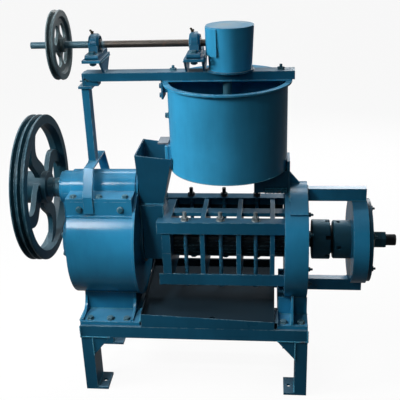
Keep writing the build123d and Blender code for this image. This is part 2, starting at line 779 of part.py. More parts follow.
def bevel_teeth(plane_at, reach, teeth, pitch_r, tip_half, root_half, phase):
    """Add straight bevel teeth between a big end and a small end nearer the apex."""
    pitch_angle = pitch_r / reach
    rise = bevel_module / bevel_cone
    drop = 1.25 * bevel_module / bevel_cone
    tip = (pitch_angle + rise) / (1 - pitch_angle * rise)
    root = (pitch_angle - drop) / (1 + pitch_angle * drop)
    ends = []
    for scale in (1, bevel_shrink):
        points = []
        for tooth in range(teeth):
            middle = phase + 360 * tooth / teeth
            for slope, half in ((root, -root_half), (tip, -tip_half), (tip, tip_half), (root, root_half)):
                radius = slope * reach * scale
                angle = radians(middle + half)
                points.append((radius * cos(angle), radius * sin(angle)))
        with BuildSketch(plane_at(reach * scale)) as end:
            with BuildLine():
                Polyline(*points, close=True)
            make_face()
        ends.append(end.sketch)
    loft(ends, ruled=True)


bevel_pinion_hub_r = 16
with BuildPart() as bevel_pinion:
    bevel_teeth(lambda back: shaft_plane(bevel_apex - back, upper_z), bevel_gear_r, bevel_pinion_teeth,
                bevel_pinion_r, 2.3, 10.2, 270)
    disc_x((bevel_apex - bevel_gear_r - 4, bevel_apex - bevel_gear_r), bevel_pinion_hub_r, upper_z)
    disc_x((bevel_apex - 60, bevel_apex), upper_shaft_r, upper_z, Mode.SUBTRACT)
save(bevel_pinion, "bevel_pinion")

bevel_back_z = upper_z - bevel_pinion_r
bevel_boss_top = 1024
with BuildPart() as bevel_gear:
    bevel_teeth(lambda back: Plane(origin=(pot_x, 0, upper_z - back)), bevel_pinion_r, bevel_gear_teeth,
                bevel_gear_r, 1.2, 4.3, 180 + 180 / bevel_gear_teeth)
    bar((pot_x, 0, bevel_back_z), (0, 0, 1), bevel_gear_r + 2.5, 20, Mode.INTERSECT)
    turn_up([(0, bevel_boss_top + seat_gap), (20, bevel_boss_top + seat_gap), (22, bevel_back_z - 12),
             (bevel_gear_r - 8, bevel_back_z - 5), (bevel_gear_r - 8, bevel_back_z), (0, bevel_back_z)],
            pot_x)
    bar((pot_x, 0, bevel_boss_top), (0, 0, 1), stirrer_r, 60, Mode.SUBTRACT)
save(bevel_gear, "bevel_gear")

# Base plate and cap round the bevel gears
bevel_base_thick = 5
bevel_base_top = beam_top + bevel_base_thick
bevel_cap_bottom_r = 61
with BuildPart() as bevel_base:
    bar((bevel_cap_x, 0, beam_top), (0, 0, 1), bevel_cap_bottom_r + 6, bevel_base_thick)
    bar((pot_x, 0, beam_top), (0, 0, 1), 20, bevel_boss_top - beam_top)
    bar((pot_x, 0, beam_top - 1), (0, 0, 1), stirrer_r + running, 60, Mode.SUBTRACT)
save(bevel_base, "bevel_base")

cap_thick = 4
cap_slot = 24
with BuildPart() as bevel_cap:
    turn_up([(bevel_cap_bottom_r - cap_thick, bevel_base_top), (bevel_cap_bottom_r, bevel_base_top),
             (bevel_cap_r, bevel_cap_top), (0, bevel_cap_top), (0, bevel_cap_top - 5),
             (bevel_cap_r - cap_thick, bevel_cap_top - 5)], bevel_cap_x)
    turn_up([(bevel_cap_bottom_r, 1044), (bevel_cap_r + 2, 1044), (bevel_cap_r + 2, bevel_cap_top - 3),
             (bevel_cap_r - 2, bevel_cap_top - 3)], bevel_cap_x, arc=120, start=120)
    slab((bevel_cap_x - 90, bevel_cap_x - 30), (-cap_slot / 2, cap_slot / 2),
         (bevel_base_top - 1, upper_z + cap_slot / 2), Mode.SUBTRACT)
save(bevel_cap, "bevel_cap")

# Stirrer in the pot
pot_inner_z = pot_floor_z + pot_floor_thick
with BuildPart() as stirrer_shaft:
    bar((pot_x, 0, pot_inner_z + 5), (0, 0, 1), stirrer_r, upper_z + 11 - pot_inner_z - 5)
save(stirrer_shaft, "stirrer_shaft")

stirrer_reach = 150
stirrer_hub_r = 22
blade_tilt = 40
with BuildPart() as stirrer_blades:
    bar((pot_x, 0, pot_inner_z + 7), (0, 0, 1), stirrer_hub_r, 30)
    for side in (1, -1):
        start = (pot_x, 0, pot_inner_z + 22)
        with BuildSketch(Plane(origin=start, x_dir=(0, -side, 0), z_dir=(side, 0, 0))) as blade:
            with Locations(Rotation(0, 0, blade_tilt)):
                Rectangle(30, 8)
        extrude(blade.sketch, amount=stirrer_reach)
    bar((pot_x, 0, pot_inner_z), (0, 0, 1), stirrer_r, 60, Mode.SUBTRACT)
save(stirrer_blades, "stirrer_blades")

# Cooking pot with a flat rim and an outlet window towards the hopper
window_half = 32
window_z = (pot_inner_z + 5, 774)
with BuildPart() as cooking_pot:
    turn_up([(0, pot_floor_z), (pot_r, pot_floor_z), (pot_r, pot_rim_z - pot_rim_thick),
             (pot_r + pot_rim_width, pot_rim_z - pot_rim_thick), (pot_r + pot_rim_width, pot_rim_z),
             (pot_r - pot_wall, pot_rim_z), (pot_r - pot_wall, pot_inner_z), (0, pot_inner_z)], pot_x)
    slab((pot_x - pot_r - 20, pot_x - 100), (-window_half, window_half), window_z, Mode.SUBTRACT)
save(cooking_pot, "cooking_pot")

with BuildPart() as pot_lid:
    bar((pot_x, 0, pot_rim_z), (0, 0, 1), pot_r + pot_rim_width, lid_thick)
    slab((pot_x - 200, pot_x + 200), (-200, -beam_half), (pot_rim_z - 1, beam_bottom + 1), Mode.SUBTRACT)
    bar((pot_x, 0, pot_rim_z - 1), (0, 0, 1), stirrer_r + 1, 20, Mode.SUBTRACT)
    for x in beam_bolt_places:
        bolt_hole((x, 0, beam_top), (0, 0, 1), pillow_bolt_size, 50)
save(pot_lid, "pot_lid")

# Bolts of the beam and of the pillow blocks, with their nuts
with BuildPart() as top_bolts:
    for x in beam_bolt_places:
        bolt((x, 0, beam_top), (0, 0, 1), pillow_bolt_size, beam_height + lid_thick + 11)
        hexagon((x, 0, pot_rim_z), (0, 0, -1), pillow_bolt_size, 8)
    for x in pillow_places:
        for y in (-pillow_bolt_y, pillow_bolt_y):
            bolt((x, y, shelf_top + pillow_foot_thick), (0, 0, 1), pillow_bolt_size,
                 pillow_foot_thick + shelf_thick + 10)
            hexagon((x, y, shelf_top - shelf_thick), (0, 0, -1), pillow_bolt_size, 8)
save(top_bolts, "top_bolts")

# Outlet frame on the pot wall, and the gate that slides up in it
frame_left = -63
frame_half = 44
frame_z = (714, 784)
gate_thick = 4
gate_half = 38
gate_z = (718, 785)
guide_deep = 9
with BuildPart() as outlet_frame:
    slab((frame_left, pot_x - 150), (-frame_half, frame_half), frame_z)
    bar((pot_x, 0, frame_z[0] - 1), (0, 0, 1), pot_r + 0.05, 100, Mode.SUBTRACT)
    slab((frame_left - 1, pot_x - 100), (-window_half, window_half), window_z, Mode.SUBTRACT)
    for side in (-1, 1):
        ys = sorted((side * (gate_half + 2), side * (frame_half + 2)))
        slab((frame_left - guide_deep, frame_left), ys, frame_z)
        ys = sorted((side * (gate_half - 4), side * (frame_half + 2)))
        slab((frame_left - guide_deep, frame_left - gate_thick - 1), ys, frame_z)
save(outlet_frame, "outlet_frame")

with BuildPart() as outlet_gate:
    slab((frame_left - gate_thick - 0.5, frame_left - 0.5), (-gate_half, gate_half), gate_z)
    slab((-95, frame_left - 0.5), (-gate_half + 8, gate_half - 8), (gate_z[1], gate_z[1] + 4))
save(outlet_gate, "outlet_gate")

# Strap that ties the pot rim down on its left side
with BuildPart() as rim_bracket:
    slab((-76, -71), (-28, 28), (920, pot_rim_z))
    slab((-71, pot_x - 150), (-20, 20), (938, pot_rim_z - pot_rim_thick))
    bar((pot_x, 0, 900), (0, 0, 1), pot_r, 100, Mode.SUBTRACT)
    bar((pot_x, 0, pot_rim_z - pot_rim_thick), (0, 0, 1), pot_r + pot_rim_width, 20, Mode.SUBTRACT)
    for z in (930, 957):
        for y in (-17, 17):
            hexagon((-76, y, z), (-1, 0, 0), 13, 6)
save(rim_bracket, "rim_bracket")

# Bracket that carries the right side of the pot on the discharge ring
with BuildPart() as pot_support:
    slab((285, 293), (-40, 40), (644.5, 735))
    bar((pot_x, 0, 600), (0, 0, 1), pot_r, 200, Mode.SUBTRACT)
    outline(front(-4), [(293, 690), (293, 644.5), (331, 644.5)], -8)
    disc_x((280, ring_right), ring_r, screw_z, Mode.SUBTRACT)
    with BuildSketch(shaft_plane(294, screw_z)) as saddle:
        Circle(ring_r + 8)
        Circle(ring_r, mode=Mode.SUBTRACT)
        Polygon((0, 0), (0, 300), (-276, 300), align=None, mode=Mode.INTERSECT)
    extrude(saddle.sketch, amount=51)
save(pot_support, "pot_support")

# Feed hopper between the outlet and the screw throat: a front view crossed with a side view
hopper_left = throat_left - 1
hopper_wall = 3
hopper_low = throat_top
hopper_high = 770
hopper_right_top = -46
hopper_half = (throat_half - 1, 80)
slope_left = (hopper_right_top, 748.5)
slope_right = (hopper_left - 13, 768.5)


def hopper_body(wall, mode=Mode.ADD):
    """Add or cut the tapered body of the hopper, with its sides moved in by a wall."""
    x_low = (hopper_left + wall, throat_right - wall)
    x_high = (hopper_left - 1 + wall, hopper_right_top - wall)
    y_low, y_high = (half - wall for half in hopper_half)
    with BuildPart(mode=Mode.PRIVATE) as body:
        outline(front(0), [(x_low[0], hopper_low), (x_high[0], hopper_high), (x_high[1], hopper_high),
                (x_low[1], hopper_low)], -100)
        mirror(about=Plane.XZ)
        outline(cross(x_high[0] - 1), [(-y_low, hopper_low), (-y_high, hopper_high),
                (y_high, hopper_high), (y_low, hopper_low)], 150, Mode.INTERSECT)
    add(body.part, mode=mode)


with BuildPart() as feed_hopper:
    hopper_body(0)
    hopper_body(hopper_wall, Mode.SUBTRACT)
    outline(front(-100), [slope_right, (slope_right[0], 800), (-20, 800), (-20, slope_left[1])], -200,
            Mode.SUBTRACT)
    bar((pot_x, 0, 700), (0, 0, 1), pot_r + 2, 100, Mode.SUBTRACT)
    slab((-76.5, 0), (-49, 49), (709, 800), Mode.SUBTRACT)
save(feed_hopper, "feed_hopper")

# Feed throat: a box round the screw, open to the hopper, with a flange on the gear housing
throat_box_half = 50
throat_flange = (throat_left - 4, throat_left + 4)
throat_flange_r = 76
hopper_mouth_half = throat_half - throat_wall
with BuildPart() as feed_throat:
    slab((throat_left, throat_right), (-throat_box_half, throat_box_half),
         (screw_z - throat_box_half, throat_top))
    disc_x(throat_flange, throat_flange_r, screw_z)
    room = (throat_left + throat_wall, throat_right - throat_wall)
    slab(room, (-throat_box_half + throat_wall, throat_box_half - throat_wall),
         (screw_z, throat_top - throat_wall), Mode.SUBTRACT)
    slab(room, (-hopper_mouth_half, hopper_mouth_half), (screw_z, throat_top + 1), Mode.SUBTRACT)
    disc_x((throat_flange[1], throat_right + 1), barrel_in_r, screw_z, Mode.SUBTRACT)
    disc_x((throat_flange[0] - 1, throat_flange[1] + 1), quill_bore + 1.5, screw_z, Mode.SUBTRACT)
save(feed_throat, "feed_throat")

# Pressing cage: two halves of ribs and angle rails round the pressing bars
rib_half = cage_half - cage_wall
rib_rise = cage_rise - cage_wall
rib_bore_r = barrel_out_r + 0.3
rail_left = -100


def cage(side):
    """Add one half of the cage: ribs with a half-round seat, and two angle rails."""
    def heights(near, far):
        return sorted((screw_z + side * near, screw_z + side * far))

    for x, thick in zip(rib_places, rib_thicks):
        slab((x, x + thick), (-rib_half, rib_half), heights(split_gap / 2, rib_rise))
    disc_x((rib_places[0] - 1, ring_left + 1), rib_bore_r, screw_z, Mode.SUBTRACT)
    for y_side in (-1, 1):
        wall = sorted((y_side * (cage_half - cage_wall), y_side * cage_half))
        slab((rail_left, ring_left), wall, heights(cage_rise - cage_angle, cage_rise))
        lip = sorted((y_side * (cage_half - cage_angle), y_side * cage_half))
        slab((rail_left, ring_left), lip, heights(cage_rise - cage_wall, cage_rise))
        for x in rod_places:
            bar((x, y_side * rod_half, screw_z), (0, 0, side), rod_r + 0.3, 2 * cage_rise, Mode.SUBTRACT)


with BuildPart() as upper_cage:
    cage(1)
    crown = screw_z + 82
    slab((rib_places[0], ring_left), (-crown_half, crown_half), (crown, crown + crown_thick))
save(upper_cage, "upper_cage")

with BuildPart() as lower_cage:
    cage(-1)
save(lower_cage, "lower_cage")


def barrel_bars(side):
    """Add half of the pressing bars, set side by side with narrow slits for the oil."""
    with BuildSketch(shaft_plane(rib_places[0], screw_z)) as shape:
        Circle(barrel_out_r)
        Circle(barrel_in_r, mode=Mode.SUBTRACT)
        with PolarLocations((barrel_in_r + barrel_out_r) / 2, bar_count):
            Rectangle(barrel_out_r - barrel_in_r + 4, bar_slit, mode=Mode.SUBTRACT)
        with Locations((0, -side * barrel_out_r)):
            Rectangle(2.2 * barrel_out_r, 2 * barrel_out_r, mode=Mode.SUBTRACT)
    extrude(shape.sketch, amount=ring_left - rib_places[0])


with BuildPart() as barrel_bars_upper:
    barrel_bars(1)
save(barrel_bars_upper, "barrel_bars_upper")

with BuildPart() as barrel_bars_lower:
    barrel_bars(-1)
save(barrel_bars_lower, "barrel_bars_lower")

# Threaded rods with a hexagon head below and a nut above hold the two halves together
rod_nut = 10
rod_tip = 17
with BuildPart() as cage_rods:
    for x in rod_places:
        for y in (-rod_half, rod_half):
            low = screw_z - cage_rise - rod_nut
            bar((x, y, low), (0, 0, 1), rod_r, 2 * cage_rise + 2 * rod_nut + rod_tip)
            for z in (low, screw_z + cage_rise):
                hexagon((x, y, z), (0, 0, 1), 19, rod_nut)
save(cage_rods, "cage_rods")

# Pressing screw: shank in the quill, growing core with flights, cone, shaft and thread
core_small = 22
core_large = 33
flight_thick = 7
flights = ((-144, 66, 68), (-66, 60, 66), (10, 56, 60), (80, 52, 56), (146, 48, 52), (208, 44, 46))
cone_start = 285
cone_end = 315
screw_key_x = (-330, -200)
screw_key_low = screw_z + 18
flat_start = 595
flat_half = 13.5
with BuildPart() as press_screw:
    turn([(-385, 0), (-385, quill_bore - 1.5), (-383.5, quill_bore), (-152, quill_bore),
          (-152, core_small), (cone_start - 25, core_large), (cone_start - 25, core_large + 4),
          (cone_start, barrel_in_r - 1.5), (cone_end, 48.5), (cone_end + 8, 48.5), (cone_end + 30, shaft_r),
          (sleeve_right, shaft_r), (sleeve_right, thread_r), (shaft_tip - 2, thread_r),
          (shaft_tip, thread_r - 2), (shaft_tip, 0)], screw_z)
    for place, pitch, length in flights:
        with BuildLine(mode=Mode.PRIVATE) as path:
            Helix(pitch, length, core_small - 4, center=(place, 0, screw_z), direction=(1, 0, 0))
        start = path.line @ 0
        outward = start - Vector(place, 0, screw_z)
        with BuildSketch(Plane(origin=start, x_dir=outward, z_dir=path.line % 0)) as section:
            with Locations(((screw_r - core_small + 4) / 2, 0)):
                Rectangle(screw_r - core_small + 4, flight_thick)
        sweep(section.sketch, path.line, is_frenet=True)
    slab((screw_key_x[0] - 2, screw_key_x[1] + 2), (-key_width / 2, key_width / 2),
         (screw_key_low - 0.2, screw_z + quill_bore + 1), Mode.SUBTRACT)
    for side in (-1, 1):
        ys = sorted((side * flat_half, side * (thread_r + 1)))
        slab((flat_start, shaft_tip + 1), ys, (screw_z - thread_r - 1, screw_z + thread_r + 1),
             Mode.SUBTRACT)
save(press_screw, "press_screw")

with BuildPart() as screw_key:
    slab(screw_key_x, (-key_width / 2 + key_gap, key_width / 2 - key_gap),
         (screw_key_low, screw_z + key_rise - 0.5))
save(screw_key, "screw_key")

# Discharge ring with the cake ring in its web, on its own pedestal
with BuildPart() as cake_ring:
    turn([(ring_left, 43), (ring_left, cake_ring_r), (cone_end, cake_ring_r), (cone_end, 52)], screw_z)
save(cake_ring, "cake_ring")

web_right = ring_left + 12
ring_bolt_circle = 160
ring_bolts_at = [(ring_bolt_circle * cos(radians(a)), screw_z + ring_bolt_circle * sin(radians(a)))
                 for a in (30, 150, 210, 330)]
with BuildPart() as main_ring:
    turn([(ring_left, cake_ring_r), (ring_left, ring_r), (ring_right, ring_r), (ring_right, ring_mouth_r),
          (ring_right - ring_wall, ring_mouth_r), (ring_right - ring_wall, ring_r - ring_wall),
          (web_right, ring_r - ring_wall), (web_right, cake_ring_r)], screw_z)
    for y, z in ring_bolts_at:
        bolt_hole((ring_right, y, z), (1, 0, 0), cap_bolt_size, ring_wall)
save(main_ring, "main_ring")

pedestal_web = (262, 350)
rib_left = 301
with BuildPart() as ring_pedestal:
    slab(ring_flange_x, (-base_plate_half, base_plate_half), (stand_height, base_z))
    for side in (-1, 1):
        ys = sorted((side * 85, side * 90))
        slab(pedestal_web, ys, (base_z, screw_z - 140))
        outline(cross(rib_left), [(side * 90, base_z), (side * 155, base_z), (side * 155, 263),
                (side * 120, 336), (side * 90, 336)], 6)
    disc_x((ring_left - 30, ring_right + 30), ring_r, screw_z, Mode.SUBTRACT)
    base_holes(ring_bolt_places)
save(ring_pedestal, "ring_pedestal")

# Bolts of the two base plates, with their nuts under the rails
with BuildPart() as base_bolts:
    for x in gear_bolt_places + ring_bolt_places:
        for y in (-base_bolt_y, base_bolt_y):
            bolt((x, y, base_z), (0, 0, 1), base_bolt_size, base_plate_thick + rail_wall + 12)
            hexagon((x, y, stand_height - rail_wall), (0, 0, -1), base_bolt_size, 9)
save(base_bolts, "base_bolts")

# Two arms tie the discharge ring to the end ring
with BuildPart() as tie_arms:
    for z in (screw_z + end_ring_r, screw_z - end_ring_r - arm_height):
        slab((ring_right, arm_end), (-arm_width / 2, arm_width / 2), (z, z + arm_height))
save(tie_arms, "tie_arms")

# End ring and its cover trap the collar of the adjusting nut
end_ring_right = end_ring_left + end_ring_width
collar_left = end_ring_left + 5.7
collar_wide = 16
nut_r = 59
end_bolts_at = [(end_bolt_circle * cos(radians(a)), screw_z + end_bolt_circle * sin(radians(a)))
                for a in range(30, 390, 60)]
with BuildPart() as end_ring:
    turn([(end_ring_left, nut_r + 1), (end_ring_left, end_ring_r), (end_ring_right, end_ring_r),
          (end_ring_right, 76), (collar_left, 76), (collar_left, nut_r + 1)], screw_z)
    for y, z in end_bolts_at:
        bolt_hole((end_ring_right, y, z), (1, 0, 0), end_bolt_size, 22)
save(end_ring, "end_ring")

cover_left = collar_left + collar_wide + 0.3
end_face = end_ring_right + end_cover_thick
with BuildPart() as end_cover:
    turn([(cover_left, nut_r + 1), (cover_left, 75.7), (end_ring_right, 75.7),
          (end_ring_right, end_cover_r), (end_face, end_cover_r), (end_face, sleeve_r + 0.5),
          (end_ring_right, sleeve_r + 0.5), (end_ring_right, nut_r + 1)], screw_z)
    for y, z in end_bolts_at:
        bolt_hole((end_face, y, z), (1, 0, 0), end_bolt_size, 40)
save(end_cover, "end_cover")

# Bolts on the flange of the discharge ring and on the end cover
with BuildPart() as ring_bolts:
    for y, z in ring_bolts_at:
        bolt((ring_right, y, z), (1, 0, 0), cap_bolt_size, ring_wall + 10)
    for y, z in end_bolts_at:
        bolt((end_face, y, z), (1, 0, 0), end_bolt_size, end_cover_thick + 20)
save(ring_bolts, "ring_bolts")

nut_left = 426
nut_right = 505
nut_collar = (collar_left + 0.3, collar_left + collar_wide - 0.1)
nut_collar_r = 75
bar_hole_x = 442
bar_hole_low = 50
with BuildPart() as adjusting_nut:
    turn([(nut_left, sleeve_r + running), (nut_left, nut_r - 3), (nut_left + 3, nut_r),
          (nut_collar[0], nut_r), (nut_collar[0], nut_collar_r), (nut_collar[1], nut_collar_r),
          (nut_collar[1], nut_r), (nut_right, nut_r), (nut_right, sleeve_r + running)], screw_z)
    for angle in range(0, 360, 90):
        y, dz = cos(radians(angle)), sin(radians(angle))
        bar((bar_hole_x, bar_hole_low * y, screw_z + bar_hole_low * dz), (0, y, dz), 6, 20,
            Mode.SUBTRACT)
save(adjusting_nut, "adjusting_nut")

# Thrust sleeve, with a castellated nut and a bearing, moves with the screw
with BuildPart() as thrust_sleeve:
    turn([(sleeve_left, shaft_r + running), (sleeve_left, sleeve_r), (sleeve_right, sleeve_r),
          (sleeve_right, shaft_r + running)], screw_z)
save(thrust_sleeve, "thrust_sleeve")

castle_right = sleeve_left + 55
castle_r = 61
with BuildPart() as castellated_nut:
    turn([(sleeve_left, sleeve_r), (sleeve_left, castle_r - 2), (sleeve_left + 2, castle_r),
          (castle_right - 2, castle_r), (castle_right, castle_r - 2), (castle_right, sleeve_r)], screw_z)
    for angle in range(0, 180, 60):
        with Locations(Plane(origin=(castle_right, 0, screw_z), z_dir=(1, 0, 0))):
            with Locations(Rotation(0, 0, angle)):
                Box(130, 12, 28, mode=Mode.SUBTRACT)
save(castellated_nut, "castellated_nut")

bearing_right = sleeve_right + 14
thrust_bearing_r = 35
with BuildPart() as thrust_bearing:
    ring((sleeve_right, bearing_right), thrust_bearing_r, thread_r + running, screw_z)
    ring((sleeve_right + 6, sleeve_right + 8), thrust_bearing_r + 1, thrust_bearing_r - 2, screw_z,
         Mode.SUBTRACT)
save(thrust_bearing, "thrust_bearing")

with BuildPart() as shaft_nuts:
    hexagon((bearing_right, 0, screw_z), (1, 0, 0), 46, 20)
    hexagon((bearing_right + 21, 0, screw_z), (1, 0, 0), 46, 15)
    disc_x((bearing_right - 1, bearing_right + 40), thread_r, screw_z, Mode.SUBTRACT)
save(shaft_nuts, "shaft_nuts")

# Oil tray under the cage: its floor falls to the front lip
tray_x = (-157, 250)
tray_y = (-rail_y, 130)
tray_floor = (250, 300)
tray_lip = (284, 265)
tray_back = 320
tray_sheet = 3
with BuildPart() as oil_tray:
    outline(front(tray_y[0]), [(tray_x[0], stand_height), (tray_x[1], stand_height),
            (tray_x[1], tray_lip[1]), (tray_x[0], tray_lip[0])], -tray_sheet)
    outline(cross(tray_x[0]), [(tray_y[0], tray_floor[0]), (tray_y[1], tray_floor[1]),
            (tray_y[1], tray_floor[1] + tray_sheet), (tray_y[0], tray_floor[0] + tray_sheet)],
            tray_x[1] - tray_x[0])
    for x, top in zip((tray_x[0], tray_x[1] - tray_sheet), tray_lip):
        outline(cross(x), [(tray_y[0], stand_height), (tray_y[1], stand_height),
                (tray_y[1], tray_back), (tray_y[0], top)], tray_sheet)
    bar((60, -140, 230), (0, 0, 1), 12, 40, Mode.SUBTRACT)
save(oil_tray, "oil_tray")
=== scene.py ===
import json
from math import cos, pi, radians, sin, sqrt

import bpy
from mathutils import Matrix, Vector


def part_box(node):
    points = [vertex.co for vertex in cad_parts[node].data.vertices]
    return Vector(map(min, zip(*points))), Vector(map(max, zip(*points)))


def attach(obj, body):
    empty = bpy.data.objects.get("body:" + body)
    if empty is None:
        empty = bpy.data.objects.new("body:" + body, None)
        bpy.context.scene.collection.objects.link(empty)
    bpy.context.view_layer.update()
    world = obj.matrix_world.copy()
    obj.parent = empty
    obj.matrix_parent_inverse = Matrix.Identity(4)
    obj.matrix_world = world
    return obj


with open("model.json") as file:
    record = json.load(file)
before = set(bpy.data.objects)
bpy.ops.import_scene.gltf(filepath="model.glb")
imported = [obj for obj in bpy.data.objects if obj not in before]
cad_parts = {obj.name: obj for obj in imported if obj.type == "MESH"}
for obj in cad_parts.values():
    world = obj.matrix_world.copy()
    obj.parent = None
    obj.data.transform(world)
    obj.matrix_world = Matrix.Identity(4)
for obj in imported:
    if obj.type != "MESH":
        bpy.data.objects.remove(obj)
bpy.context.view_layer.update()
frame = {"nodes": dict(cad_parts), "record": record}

nodes = frame["nodes"]


def span(node):
    """The lowest and highest corners of a node, as two vectors."""
    low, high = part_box(node)
    return Vector(low), Vector(high)


# Places read from the frame, in metres, with the radii of the pot and the gearbox drum and a
# height between the large wheel and the upper one
screw_z = sum(c[2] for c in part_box("press_screw")) / 2
drive_z = sum(c[2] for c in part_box("big_wheel")) / 2
rail_low, rail_high = span("stand_rails")
base_top = rail_high.z + 0.012
pot_low, pot_high = span("cooking_pot")
pot_x = (pot_low.x + pot_high.x) / 2
pot_floor_z = pot_low.z
pot_rim_z = pot_high.z
pot_r = 0.1726
drum_r = 0.172
ring_low, ring_high = span("main_ring")
ring_r = (ring_high.z - ring_low.z) / 2
end_low, end_high = span("end_ring")
end_r = (end_high.z - end_low.z) / 2
housing_low = span("gear_housing")[0]
throat_low, throat_high = span("feed_throat")
cage_top = span("upper_cage")[1].z
cage_bottom = span("lower_cage")[0].z
between_wheels_z = 0.95


# Shader maths

class Sum:
    """A shader socket that takes part in written sums; each sign adds its Math node."""

    def __init__(self, finish, socket):
        self.finish = finish
        self.socket = socket

    def maths(self, operation, *values, clamp=False):
        """Add a Math node that works on values and return its result."""
        settings = {"operation": operation, "use_clamp": clamp}
        return self.finish.node("ShaderNodeMath", settings, *values)

    def __add__(self, other):
        return self.maths("ADD", self, other)

    __radd__ = __add__

    def __sub__(self, other):
        return self.maths("SUBTRACT", self, other)

    def __rsub__(self, other):
        return self.maths("SUBTRACT", other, self)

    def __mul__(self, other):
        return self.maths("MULTIPLY", self, other)

    __rmul__ = __mul__

    def above(self, level, soft):
        """0 below a level and 1 above it, with a soft step between."""
        return self.maths("MULTIPLY", self - (level - soft), 0.5 / soft, clamp=True)

    def below(self, level, soft):
        """1 below a level and 0 above it, with a soft step between."""
        return 1 - self.above(level, soft)


class Finish:
    """A material with a Principled shader, and short ways to add nodes to it."""

    def __init__(self, name):
        self.material = bpy.data.materials.new(name)
        self.material.use_nodes = True
        self.tree = self.material.node_tree
        self.shader = self.tree.nodes["Principled BSDF"]
        self.place = self.node("ShaderNodeTexCoord", {}, result="Object")

    def node(self, kind, settings, *values, result=0, **named):
        """Add a node: its settings first, then the values or links of its sockets."""
        made = self.tree.nodes.new(kind)
        for key, value in settings.items():
            setattr(made, key, value)
        for key, value in list(enumerate(values)) + list(named.items()):
            socket = made.inputs[key if isinstance(key, int) else key.replace("_", " ")]
            self.feed(socket, value)
        return Sum(self, made.outputs[result])

    def feed(self, socket, value):
        """Link a sum to a socket, or set a plain value on it."""
        if isinstance(value, Sum):
            self.tree.links.new(value.socket, socket)
        else:
            socket.default_value = value

    def set(self, **inputs):
        """Set or link inputs of the shader by name."""
        for key, value in inputs.items():
            self.feed(self.shader.inputs[key.replace("_", " ")], value)

    def noise(self, scale, detail=3.0, rough=0.55, stretch=None):
        """Noise on the object's own coordinates, stretched along an axis where asked."""
        place = self.place
        if stretch:
            place = self.node("ShaderNodeMapping", {}, place, Scale=stretch)
        return self.node("ShaderNodeTexNoise", {}, Vector=place, Scale=scale, Detail=detail,
                         Roughness=rough)

    def mix(self, factor, first, second):
        """A colour between two colours."""
        made = self.tree.nodes.new("ShaderNodeMix")
        made.data_type = "RGBA"
        for index, value in ((0, factor), (6, first), (7, second)):
            self.feed(made.inputs[index], value)
        return Sum(self, made.outputs[2])

    def facing_up(self):
        """How far a surface faces up, from -1 to 1."""
        normal = self.node("ShaderNodeNewGeometry", {}, result="Normal")
        return self.node("ShaderNodeSeparateXYZ", {}, normal, result="Z")

    def along(self, axis):
        """The place on the object along an axis, in metres."""
        return self.node("ShaderNodeSeparateXYZ", {}, self.place, result=axis)

    def rounded(self, radius):
        """The surface normal with the sharp edges of a piece rounded off."""
        return self.node("ShaderNodeBevel", {"samples": 4}, radius)

    def edge(self, rounded):
        """How strongly a rounded normal turns away from the flat one: 0 away from edges."""
        flat = self.node("ShaderNodeNewGeometry", {}, result="Normal")
        same = self.node("ShaderNodeVectorMath", {"operation": "DOT_PRODUCT"}, rounded, flat,
                         result="Value")
        return 1 - same

    def bump(self, height, strength, distance, **over):
        """A Normal input from a height, over another normal where one is given."""
        return self.node("ShaderNodeBump", {}, Strength=strength, Distance=distance, Height=height,
                         result="Normal", **over)


def shade(colour, factor):
    """A colour made darker or lighter by a factor."""
    return tuple(min(1.0, c * factor) for c in colour[:3]) + (1.0,)


# Colours under and on the paint, some of them standing partly for painted light and shade, and how far
# sharp edges are rounded and how far their wear and painted highlight reach, in metres
rust = (0.14, 0.055, 0.024, 1.0)
bare = (0.2, 0.19, 0.18, 1.0)
# Pale grey of dust on top faces, and of a painted sheen of light from above
dust_and_sheen = (0.24, 0.3, 0.33, 1.0)
# Pale blue of edges worn through the paint, and of a painted highlight on the edges
pale = (0.2, 0.34, 0.4, 1.0)
# Near black of oil, used also as painted shade low in the tray
oil_black_and_shade = (0.006, 0.012, 0.017, 1.0)
edge_radius = 0.0016
edge_wear_and_highlight_radius = 0.0036


